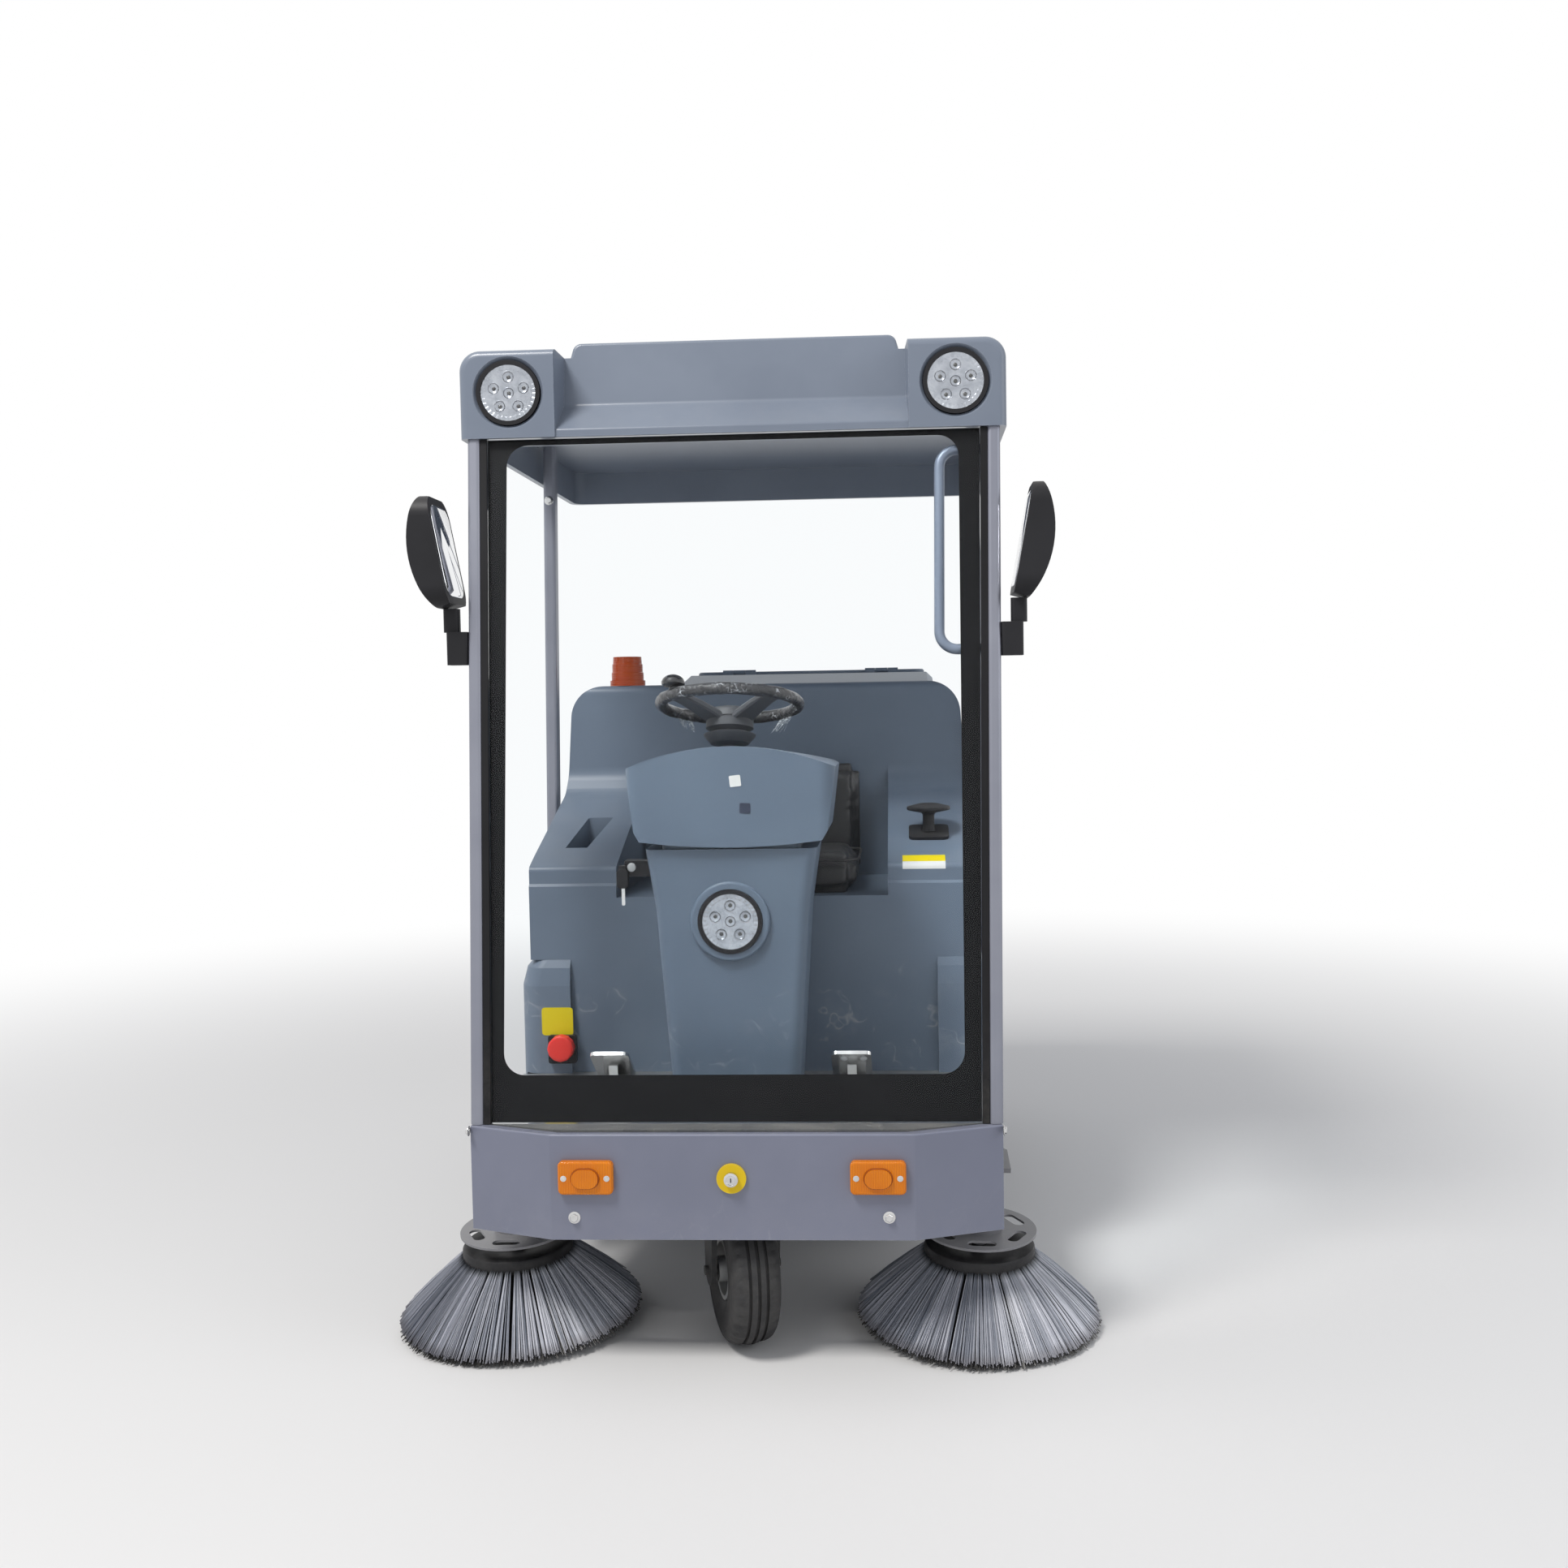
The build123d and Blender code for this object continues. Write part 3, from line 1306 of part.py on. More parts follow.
# Side brushes: a hub, a thin cone of bristles with tufts along it, under a slotted guard on the lifting arm
spindle_radius = 14.0
tuft_top = 13.0
tuft_foot_width = 20.0
tip_shell = 34.0
tuft_root_width = 9.0
disc_thick = 5.0
motor_radius = 48.0
motor_plate = 10.0
slot_ring = 88.0
for side, name in ((-1, "right"), (1, "left")):
    lean = Vector(
        side * math.sin(math.radians(brush_tilt_side)),
        -math.sin(math.radians(brush_tilt_front)),
        1,
    ).normalized()
    brush_plane = Plane(origin=(side * brush_x, at_back(brush_back), brush_top), x_dir=(1, 0, 0), z_dir=lean)
    flat = Plane(origin=brush_plane.origin, x_dir=brush_plane.x_dir, z_dir=brush_plane.y_dir * -1)
    spin = Axis(brush_plane.origin, brush_plane.z_dir)
    with BuildPart() as brush:
        with BuildSketch(flat):
            with BuildLine():
                Polyline(
                    (spindle_radius + running_gap, 0),
                    (brush_hub_radius, 0),
                    (brush_hub_radius, -brush_hub_thick + 12),
                    (brush_radius - 5, -brush_drop),
                    (brush_radius - tip_shell, -brush_drop),
                    (brush_hub_radius - 24, -brush_hub_thick),
                    (spindle_radius + running_gap, -brush_hub_thick),
                    close=True,
                )
            make_face()
        revolve(axis=spin)
        for turn in range(tuft_count):
            angle = math.radians(turn * 360 / tuft_count)
            outward = brush_plane.x_dir * math.cos(angle) + brush_plane.y_dir * math.sin(angle)
            root_drop = brush_plane.z_dir * (brush_hub_thick - 14)
            root = brush_plane.origin + outward * (brush_hub_radius - 6) - root_drop
            tip = brush_plane.origin + outward * (brush_radius - 9) - brush_plane.z_dir * brush_drop
            tuft_run = tip - root
            tangent = brush_plane.z_dir.cross(outward)
            with BuildSketch(Plane(origin=root, x_dir=tangent, z_dir=brush_plane.z_dir)):
                Rectangle(tuft_root_width, tuft_top)
            with BuildSketch(Plane(origin=tip, x_dir=tangent, z_dir=brush_plane.z_dir)):
                Rectangle(tuft_foot_width, tuft_top + 4)
            loft(ruled=True)
    brush.part.label = "side_brush_" + name
    export_step(brush.part, "parts/side_brush_" + name + ".step")
    with BuildPart() as arm:
        with BuildSketch(brush_plane.offset(disc_rise)):
            Circle(disc_radius)
            with PolarLocations(slot_ring, 6, start_angle=30):
                SlotOverall(62, 26, rotation=90, mode=Mode.SUBTRACT)
        extrude(amount=disc_thick)
        with BuildSketch(brush_plane.offset(disc_rise + disc_thick)):
            Circle(motor_radius)
        extrude(amount=motor_rise - disc_rise - disc_thick)
        with BuildSketch(brush_plane.offset(-30)):
            Circle(spindle_radius)
        extrude(amount=disc_rise + 30)
        with BuildSketch(brush_plane.offset(motor_rise)):
            with BuildLine():
                Polyline(
                    (side * 60, -55),
                    (side * -60, -55),
                    (side * -60, 60),
                    (side * -150, 190),
                    (side * -60, 190),
                    (side * 60, 60),
                    close=True,
                )
            make_face()
        extrude(amount=motor_plate)
        tube_x = side * (arm_pivot_x - 55)
        tube_plane = Plane(origin=(tube_x, at_back(arm_pivot_back), rail_z), z_dir=(side, 0, 0))
        with BuildSketch(tube_plane):
            Circle(arm_pin_radius + 9)
        extrude(amount=arm_tube_length)
        with BuildSketch(Plane.YZ.offset(side * (arm_pivot_x - 5) - 5)):
            with BuildLine():
                Polyline(
                    (at_back(arm_pivot_back) - 16, rail_z - 6),
                    (at_back(arm_pivot_back) + 14, rail_z - 10),
                    (at_back(arm_pivot_back) - 10, rail_z - 130),
                    (at_back(arm_pivot_back) - 70, rail_z - 125),
                    close=True,
                )
            make_face()
        extrude(amount=10)
        with BuildSketch(tube_plane):
            Circle(arm_pin_radius + running_gap)
        extrude(amount=arm_tube_length, mode=Mode.SUBTRACT)
    arm.part.label = "brush_arm_" + name
    export_step(arm.part, "parts/brush_arm_" + name + ".step")

# Roller brush: bristle strips round a core, and its housing
roller_z = roller_radius + 3
roller_journal = 14.0
roller_end = 14.0
strip_thick = 16.0
with BuildPart() as roller:
    with BuildSketch(Plane(origin=(-roller_half, at_back(roller_back), roller_z), z_dir=(1, 0, 0))):
        Circle(roller_core)
        with PolarLocations((roller_radius + roller_core) / 2 - 3, roller_strips):
            Rectangle(roller_radius - roller_core + 6, strip_thick)
    extrude(amount=2 * roller_half)
    journal_start = (-roller_half - roller_end, at_back(roller_back), roller_z)
    with BuildSketch(Plane(origin=journal_start, z_dir=(1, 0, 0))):
        Circle(roller_journal)
    extrude(amount=2 * (roller_half + roller_end))
roller.part.label = "roller_brush"
export_step(roller.part, "parts/roller_brush.step")

hood_radius = roller_radius + 22
hood_half_length = 175.0
hood_wall = 8.0
with BuildPart() as housing:
    for side in (-1, 1):
        with BuildSketch(Plane.YZ.offset(side * rail_outer)):
            with BuildLine():
                roller_y = at_back(roller_back)
                Polyline(
                    (roller_y - hood_half_length, 90),
                    (roller_y - hood_half_length, 380),
                    (roller_y - 100, rail_bottom - 2),
                    (roller_y - 100, rail_top),
                    (roller_y + hood_half_length, rail_top),
                    (roller_y + hood_half_length, 90),
                    close=True,
                )
            make_face()
        extrude(amount=side * hood_wall)
    with BuildSketch(Plane.YZ.offset(-rail_outer)):
        with Locations((at_back(roller_back), roller_z)):
            Circle(hood_radius + 5)
            Circle(hood_radius, mode=Mode.SUBTRACT)
        with Locations((at_back(roller_back), roller_z - 150)):
            Rectangle(500, 300, mode=Mode.SUBTRACT)
    extrude(amount=2 * rail_outer)
    with BuildSketch(Plane(origin=(-400, at_back(roller_back), roller_z), z_dir=(1, 0, 0))):
        Circle(roller_journal + running_gap)
    extrude(amount=800, mode=Mode.SUBTRACT)
housing.part.label = "roller_housing"
export_step(housing.part, "parts/roller_housing.step")

# Hopper: an open box on runners, pulled out to the rear
hopper_front = at_back(hopper_back)
hopper_top = runner_lip_z + 22
hopper_height = hopper_top - hopper_bottom
handle_height = 300.0
with BuildPart() as hopper:
    hopper_middle = (0, hopper_front + hopper_length / 2, (hopper_bottom + hopper_top) / 2)
    with Locations(hopper_middle):
        Box(2 * hopper_half, hopper_length, hopper_height)
    with Locations((0, hopper_middle[1] - hopper_wall, hopper_middle[2])):
        inner_height = hopper_height - 2 * hopper_wall
        Box(2 * (hopper_half - hopper_wall), hopper_length, inner_height, mode=Mode.SUBTRACT)
    flange_z = runner_lip_z + runner_thick + seat_gap + 3
    for side in (-1, 1):
        with Locations((side * (hopper_half + 12), hopper_middle[1], flange_z)):
            Box(24, hopper_length - 60, 6)
    with BuildSketch(Plane.XY.offset(handle_height - 12)):
        with Locations((0, hopper_front + hopper_length + 15)):
            RectangleRounded(220, 30, 10)
            Rectangle(220, 30, mode=Mode.INTERSECT)
        with Locations((0, hopper_front + hopper_length + 7)):
            Rectangle(180, 16, mode=Mode.SUBTRACT)
        with Locations((0, hopper_front + hopper_length + 1)):
            Rectangle(220, 4, mode=Mode.ADD)
    extrude(amount=24)
hopper.part.label = "hopper"
export_step(hopper.part, "parts/hopper.step")

# Battery block on the rails
battery_front_back = 1250.0
battery_size = (640.0, 400.0, 220.0)
with BuildPart() as battery:
    with Locations((0, at_back(battery_front_back) + battery_size[1] / 2, rail_top + battery_size[2] / 2)):
        Box(*battery_size)
battery.part.label = "battery_block"
export_step(battery.part, "parts/battery_block.step")

# Rubber skirts under the roller housing
skirt_thick = 6.0
with BuildPart() as skirts:
    with Locations((0, at_back(roller_back) - hood_half_length - skirt_thick / 2, 60)):
        Box(2 * rail_outer, skirt_thick, 110)
skirts.part.label = "dust_skirts"
export_step(skirts.part, "parts/dust_skirts.step")
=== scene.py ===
# %% [markdown]
# Ride-on road sweeper, dressed for a studio picture.
# The construction arrives as a fixed frame of named nodes, in metres, with the ground at height 0 and the
# front looking along -Y. This script gives every node its finish and replaces the few whose real form is
# soft, fibrous or smoother: brushes, roller, seat, tyres and steering wheel. Small trim is added on top.

# %% Load the frame
import bpy
import bmesh
import math
import random
from mathutils import Vector, Matrix


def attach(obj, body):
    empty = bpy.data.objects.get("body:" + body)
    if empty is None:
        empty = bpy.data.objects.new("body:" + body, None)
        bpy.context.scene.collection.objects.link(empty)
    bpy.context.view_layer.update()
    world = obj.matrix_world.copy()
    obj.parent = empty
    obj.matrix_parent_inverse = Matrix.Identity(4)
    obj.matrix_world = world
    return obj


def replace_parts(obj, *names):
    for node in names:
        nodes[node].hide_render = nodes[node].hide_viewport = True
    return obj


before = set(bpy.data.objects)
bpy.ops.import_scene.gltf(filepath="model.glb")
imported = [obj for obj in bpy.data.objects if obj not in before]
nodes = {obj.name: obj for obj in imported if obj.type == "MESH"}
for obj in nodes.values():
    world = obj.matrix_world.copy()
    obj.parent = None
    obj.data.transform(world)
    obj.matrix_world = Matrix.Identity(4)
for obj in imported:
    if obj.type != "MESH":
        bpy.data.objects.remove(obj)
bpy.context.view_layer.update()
print("frame loaded:", len(nodes), "nodes")

# %% [markdown]
# The camera stands where the photographer stood: about 3 m in front of the bumper, at the height of the
# steering wheel, turned and tipped by a few degrees. The numbers come from matching symmetric points of
# the bumper and the roof. Three small angles are easier to keep right in a matrix than in a constraint.

# %% Camera
photo_width = 1932.0
focal_px = 1855.0
centre_px = (1012.7, 964.7)
sensor_width = 36.0
camera_place = Vector((0.3529, -3.9746, 1.3614))
yaw, pitch, roll = (math.radians(angle) for angle in (-3.042, 3.183, -0.965))


def linked(name, data):
    """A new object in the scene that holds the given data."""
    obj = bpy.data.objects.new(name, data)
    bpy.context.scene.collection.objects.link(obj)
    return obj


ahead = Vector((math.sin(yaw), math.cos(yaw), 0.0)) * math.cos(pitch) - Vector((0, 0, math.sin(pitch)))
level_right = Vector((math.cos(yaw), -math.sin(yaw), 0.0))
level_up = level_right.cross(ahead)
right = math.cos(roll) * level_right + math.sin(roll) * level_up
up = math.cos(roll) * level_up - math.sin(roll) * level_right
camera_data = bpy.data.cameras.new("photo_camera")
camera = linked("photo_camera", camera_data)
camera.matrix_world = Matrix.Translation(camera_place) @ Matrix((right, up, -ahead)).transposed().to_4x4()
camera_data.sensor_width = sensor_width
camera_data.lens = sensor_width * focal_px / photo_width
camera_data.shift_x = -(centre_px[0] - photo_width / 2) / photo_width
camera_data.shift_y = (centre_px[1] - photo_width / 2) / photo_width
bpy.context.scene.camera = camera
print("camera lens %.1f mm" % camera_data.lens)

# %% [markdown]
# Node trees are written through one small class, so that a material reads like a list of steps. Groups
# give only masks, tones and heights; the shader itself stays in each material, where it can be changed.

# %% Node helpers
class Graph:
    """Writes shader nodes into one tree."""

    def __init__(self, tree):
        self.tree = tree

    def fill(self, node, sockets):
        """Inputs of a node, each set to a value or linked to an output."""
        for key, value in sockets.items():
            if isinstance(value, bpy.types.NodeSocket):
                self.tree.links.new(value, node.inputs[key])
            else:
                node.inputs[key].default_value = value

    def node(self, kind, sockets=None, **settings):
        """One shader node with its options and inputs; gives its outputs."""
        node = self.tree.nodes.new("ShaderNode" + kind)
        for key, value in settings.items():
            setattr(node, key, value)
        self.fill(node, sockets or {})
        return node.outputs

    def group(self, tree, *values):
        """The outputs of a node group, with its inputs given in order."""
        return self.node("Group", dict(enumerate(values)), node_tree=tree)

    def place(self):
        """The position in object space, which needs no UVs and moves with a piece."""
        return self.node("TexCoord")["Object"]

    def height(self, vector):
        """The Z part of a vector."""
        return self.node("SeparateXYZ", {0: vector})["Z"]

    def noise(self, scale, place=None, **more):
        """The value of a noise texture."""
        sockets = {"Scale": scale, **more}
        if place is not None:
            sockets["Vector"] = place
        return self.node("TexNoise", sockets)[0]

    def math(self, operation, *values, clamp=False):
        """The result of a Math node."""
        return self.node("Math", dict(enumerate(values)), operation=operation, use_clamp=clamp)[0]

    def times(self, first, second, clamp=False):
        """The product of two values."""
        return self.math("MULTIPLY", first, second, clamp=clamp)

    def ramp(self, value, low, high, to_low=0.0, to_high=1.0):
        """A smooth step of a value from one level to another."""
        sockets = {"Value": value, "From Min": low, "From Max": high, "To Min": to_low, "To Max": to_high}
        return self.node("MapRange", sockets, interpolation_type="SMOOTHSTEP")[0]

    def blend(self, mask, first, second):
        """A colour between two by a mask (inputs 6 and 7 and output 2 of Mix are its colours)."""
        return self.node("Mix", {0: mask, 6: first, 7: second}, data_type="RGBA")[2]

    def bump(self, strength, distance, height):
        """A bumped normal."""
        return self.node("Bump", {"Strength": strength, "Distance": distance, "Height": height})[0]

    def seen(self):
        """1 for rays that show a surface to the camera, straight, mirrored or through glass; and all ray outputs."""
        rays = self.node("LightPath")
        direct = self.math("MAXIMUM", rays["Is Camera Ray"], rays["Is Glossy Ray"])
        return self.math("MAXIMUM", direct, rays["Is Transmission Ray"]), rays


def mask_group(name, inputs, outputs):
    """An empty shader group with named float inputs (with defaults) and float outputs."""
    tree = bpy.data.node_groups.new(name, "ShaderNodeTree")
    for label, value in inputs.items():
        socket = tree.interface.new_socket(label, in_out="INPUT", socket_type="NodeSocketFloat")
        socket.default_value = value
    for label in outputs:
        tree.interface.new_socket(label, in_out="OUTPUT", socket_type="NodeSocketFloat")
    return Graph(tree), tree.nodes.new("NodeGroupInput").outputs, tree.nodes.new("NodeGroupOutput")


def new_material(name):
    """A material, the graph of its tree and its shader."""
    material = bpy.data.materials.new(name)
    material.use_nodes = True
    return material, Graph(material.node_tree), material.node_tree.nodes["Principled BSDF"]


print("node helpers ready")

# %% [markdown]
# Moulded plastic and powder coat are never perfectly even. Large soft clouds shift the tone a little,
# and a fine grain breaks the reflection. Both come from noise in object space.

# %% Group: tone clouds and moulded grain
graph, given, result = mask_group(
    "moulded_grain", {"Cloud Scale": 3.0, "Grain Scale": 900.0}, ("Tone", "Height"))
spot = graph.place()
clouds = graph.noise(given[0], spot, Detail=4.0, Roughness=0.6)
grains = graph.noise(given[1], spot, Detail=1.0)
graph.fill(result, {"Tone": graph.ramp(clouds, 0.3, 0.7), "Height": grains})
grain_group = graph.tree
print("group", grain_group.name)

# %% [markdown]
# Shoes, crates and brooms leave pale rub marks on the lower mouldings. They are thin curved lines in
# patches: the edges of a warped cell pattern, kept only where a cloud mask allows and only below a
# given height.

# %% Group: rub marks
graph, given, result = mask_group("rub_marks", {"Scale": 7.0, "Top": 0.8, "Amount": 0.5}, ("Mask",))
spot = graph.place()
warp = graph.node("TexNoise", {"Vector": spot, "Scale": 5.0, "Detail": 3.0})[1]
shift = graph.node("VectorMath", {0: warp, 1: (0.45, 0.45, 0.45)}, operation="MULTIPLY")[0]
warped = graph.node("VectorMath", {0: spot, 1: shift}, operation="ADD")[0]
cells = graph.node("TexVoronoi", {"Vector": warped, "Scale": given[0]}, feature="DISTANCE_TO_EDGE")
lines = graph.ramp(cells["Distance"], 0.0, 0.035, 1.0, 0.0)
patches = graph.ramp(graph.noise(9.0, spot, Detail=5.0, Roughness=0.7), 0.47, 0.66)
fade = graph.ramp(graph.math("SUBTRACT", given[1], graph.height(spot)), 0.0, 0.25)
soft = graph.times(graph.math("MAXIMUM", lines, graph.times(patches, 0.25)), patches)
graph.fill(result, {"Mask": graph.times(graph.times(soft, fade), given[2], clamp=True)})
rub_group = graph.tree
print("group", rub_group.name)

# %% [markdown]
# A street machine is dusty: dust lies on faces that look up and climbs the lower parts. The mask mixes
# the upward lean of the surface with the height above the ground and breaks both with noise.

# %% Group: road dust
graph, given, result = mask_group(
    "road_dust", {"Low Top": 0.5, "Low Amount": 0.5, "Lying Amount": 0.3}, ("Mask",))
spot = graph.place()
looks_up = graph.ramp(graph.height(graph.node("NewGeometry")["Normal"]), 0.35, 0.95)
broken = graph.ramp(graph.noise(14.0, spot, Detail=8.0, Roughness=0.75), 0.35, 0.65)
rise = graph.ramp(graph.math("SUBTRACT", given[0], graph.height(spot)), 0.0, 0.45)
either = graph.math("MAXIMUM", graph.times(rise, given[1]), graph.times(looks_up, given[2]))
graph.fill(result, {"Mask": graph.times(either, broken, clamp=True)})
dust_group = graph.tree
print("group", dust_group.name)

# %% [markdown]
# Edges are where a finish rubs through first, and no real edge is razor sharp. A Bevel node gives the
# normal that a slightly rounded edge would have; where it differs from the true normal there is an edge.
# Its lighter colour is partly wear and partly a painted highlight where rounded edges catch the light.

# %% Group: worn edges and painted edge highlights
graph, given, result = mask_group("worn_and_highlit_edges", {"Radius": 0.003, "Amount": 0.6}, ("Mask",))
rounded = graph.node("Bevel", {"Radius": given[0]}, samples=4)[0]
true_normal = graph.node("NewGeometry")["Normal"]
likeness = graph.node("VectorMath", {0: rounded, 1: true_normal}, operation="DOT_PRODUCT")["Value"]
broken = graph.ramp(graph.noise(60.0, Detail=4.0), 0.35, 0.6)
# Edge mask: wear, and a painted highlight on rounded edges.
mask = graph.times(graph.ramp(likeness, 0.99, 0.80), broken)
graph.fill(result, {"Mask": graph.times(mask, given[1])})
edge_group = graph.tree
print("group", edge_group.name)

# %% [markdown]
# One recipe makes all the solid finishes: a base colour in two tones, a lighter edge that is wear and a
# painted highlight, pale rub marks and dust, then a fine bump. The order is how the layers lie on the real
# machine: dust is always on top.

# %% Finish recipe
DUST_COLOUR = (0.42, 0.40, 0.36, 1.0)
RUB_COLOUR = (0.50, 0.53, 0.56, 1.0)
EDGE_RADIUS = 0.0025


def finish(name, dark, light, rough, metallic=0.0, edge=None, rub=None, dust=None, grain=900.0, bump=0.0,
           cloud=3.0, coat=0.0, depth=0.0004, edge_amount=0.5, gloss=0.5):
    """A solid finish; rub is (scale, top, amount), dust is (low top, low amount, lying amount)."""
    material, graph, shader = new_material(name)
    grains = graph.group(grain_group, cloud, grain)
    colour = graph.blend(grains["Tone"], dark + (1.0,), light + (1.0,))
    # Lighter edges: partly wear, partly a painted highlight.
    if edge:
        colour = graph.blend(graph.group(edge_group, EDGE_RADIUS, edge_amount)["Mask"], colour, edge + (1.0,))
    if rub:
        colour = graph.blend(graph.group(rub_group, *rub)["Mask"], colour, RUB_COLOUR)
    if dust:
        mask = graph.group(dust_group, *dust)["Mask"]
        colour = graph.blend(mask, colour, DUST_COLOUR)
        roughness = graph.ramp(mask, 0.0, 1.0, rough, min(0.95, rough + 0.4))
    else:
        roughness = graph.ramp(grains["Tone"], 0.0, 1.0, rough, rough + 0.06)
    graph.fill(shader, {"Base Color": colour, "Roughness": roughness, "Metallic": metallic,
                        "Coat Weight": coat, "Specular IOR Level": gloss})
    if bump > 0:
        graph.fill(shader, {"Normal": graph.bump(bump, depth, grains["Height"])})
    return material


print("finish recipe ready")

# %% [markdown]
# The painted and moulded finishes, with colours judged against the photograph: a slate blue body
# and console, a slightly greyer bumper, a lighter roof, silver-grey posts and matt black trim. The body
# carries the scuffs of daily work; the roof only some dust.

# %% Painted and moulded finishes
slate = finish("slate_moulding", (0.121, 0.160, 0.218), (0.149, 0.193, 0.257), 0.42, edge=(0.26, 0.31, 0.38),
    rub=(6.0, 0.85, 0.42), dust=(0.50, 0.20, 0.06), bump=0.05)
slate_column = finish("slate_console", (0.103, 0.140, 0.194), (0.122, 0.164, 0.222), 0.44,
    edge=(0.28, 0.33, 0.40), rub=(5.0, 0.9, 0.25), dust=(0.60, 0.15, 0.04), bump=0.05)
roof_shell = finish("roof_moulding", (0.165, 0.195, 0.250), (0.190, 0.222, 0.280), 0.30,
    edge=(0.42, 0.46, 0.53), dust=(0.1, 0.0, 0.05), bump=0.04)
bumper_coat = finish("bumper_coat", (0.180, 0.193, 0.258), (0.205, 0.218, 0.288), 0.40, 0.05,
    edge=(0.40, 0.43, 0.48), rub=(8.0, 0.42, 0.25), dust=(0.42, 0.22, 0.10), grain=1600.0,
    bump=0.04)
post_coat = finish("post_coat", (0.225, 0.235, 0.285), (0.275, 0.285, 0.335), 0.36, 0.35,
    edge=(0.42, 0.43, 0.46), dust=(0.7, 0.15, 0.05), grain=1800.0, bump=0.04)
handle_coat = finish("handle_coat", (0.185, 0.220, 0.290), (0.225, 0.262, 0.335), 0.34, 0.3, bump=0.04)
black_trim = finish("black_trim", (0.010, 0.010, 0.012), (0.018, 0.018, 0.021), 0.48,
    edge=(0.045, 0.045, 0.05), dust=(0.3, 0.2, 0.06), bump=0.2, grain=1200.0, gloss=0.25)
black_seal = finish("black_seal", (0.008, 0.008, 0.009), (0.014, 0.014, 0.016), 0.62, dust=(0.8, 0.10, 0.05),
    bump=0.1, gloss=0.2)
frame_black = finish("frame_black", (0.016, 0.017, 0.019), (0.026, 0.027, 0.030), 0.48,
    edge=(0.08, 0.075, 0.07), dust=(0.45, 0.12, 0.08), bump=0.08, gloss=0.3)
arm_grey = finish("arm_grey", (0.20, 0.20, 0.215), (0.24, 0.24, 0.255), 0.42, edge=(0.45, 0.45, 0.46),
    dust=(0.3, 0.15, 0.12), bump=0.04)
rim_silver = finish("rim_silver", (0.34, 0.35, 0.36), (0.42, 0.43, 0.44), 0.38, 0.5, edge=(0.5, 0.5, 0.5),
    dust=(0.6, 0.4, 0.2), bump=0.04)
bright_steel = finish("bright_steel", (0.60, 0.60, 0.60), (0.72, 0.72, 0.72), 0.16, 1.0, bump=0.03, cloud=20.0)
hopper_shell = finish("hopper_moulding", (0.026, 0.029, 0.033), (0.040, 0.043, 0.048), 0.50,
    edge=(0.08, 0.08, 0.09), dust=(0.5, 0.12, 0.06), bump=0.06, gloss=0.3)
yellow_ring = finish("yellow_ring", (0.74, 0.50, 0.006), (0.80, 0.56, 0.01), 0.38, edge=(0.8, 0.7, 0.3),
    bump=0.03, gloss=0.3)
red_knob = finish("red_knob", (0.86, 0.035, 0.028), (0.94, 0.052, 0.042), 0.34, bump=0.03, gloss=0.4)
print("finishes:", len(bpy.data.materials))

# %% [markdown]
# The floor is checkered plate: a grid of lens-shaped lugs, each turned a quarter from its neighbours. The
# bump follows from the position alone: the cell of a point and its distance from a slanted ellipse.

# %% Checkered plate
LUG_PITCH, LUG_LENGTH, LUG_WIDTH = 0.024, 0.62, 0.17


def checker_plate():
    """Steel plate with raised lens-shaped lugs; their length and width are shares of the pitch."""
    material = finish("checker_plate", (0.30, 0.31, 0.32), (0.38, 0.39, 0.40), 0.38, 0.7, dust=(0.9, 0.35, 0.35))
    graph = Graph(material.node_tree)
    spot = graph.node("SeparateXYZ", {0: graph.place()})
    cells, insides = [], []
    for axis in ("X", "Y"):
        scaled = graph.times(spot[axis], 1 / LUG_PITCH)
        cells.append(graph.math("FLOOR", scaled))
        insides.append(graph.math("SUBTRACT", graph.math("SUBTRACT", scaled, cells[-1]), 0.5))
    parity = graph.math("PINGPONG", graph.math("ADD", *cells), 1.0)
    slants = [graph.math("ADD", *insides), graph.math("SUBTRACT", *insides)]
    parts = []
    for (first, second), size in ((slants, LUG_LENGTH), (slants[::-1], LUG_WIDTH)):
        slant = graph.node("Mix", {0: parity, 2: first, 3: second})[0]
        parts.append(graph.math("POWER", graph.times(graph.math("ABSOLUTE", slant), 1 / size), 2.0))
    lug = graph.ramp(graph.math("ADD", *parts), 1.0, 0.4)
    graph.fill(material.node_tree.nodes["Principled BSDF"], {"Normal": graph.bump(0.9, 0.0015, lug)})
    return material


plate_steel = checker_plate()
print("made", plate_steel.name)

# %% [markdown]
# The windscreen is one flat pane and the lamps have clear lenses. A refracting solid would keep the
# studio light out, so glass turns transparent for shadow rays only; for the eye it stays glass, with a
# faint reflection. Marker, tail and beacon lenses are tinted plastic with moulded ribs.

# %% Glass and lenses
def clear_pane(name, tint, ior):
    """Clear glass whose shadow rays pass straight through."""
    material, graph, shader = new_material(name)
    graph.fill(shader, {"Base Color": tint, "Roughness": 0.0, "IOR": ior, "Transmission Weight": 1.0})
    open_way = graph.node("BsdfTransparent", {"Color": tint})[0]
    shadow = graph.node("LightPath")["Is Shadow Ray"]
    choice = graph.node("MixShader", {0: shadow, 1: shader.outputs[0], 2: open_way})[0]
    graph.fill(material.node_tree.nodes["Material Output"], {"Surface": choice})
    return material


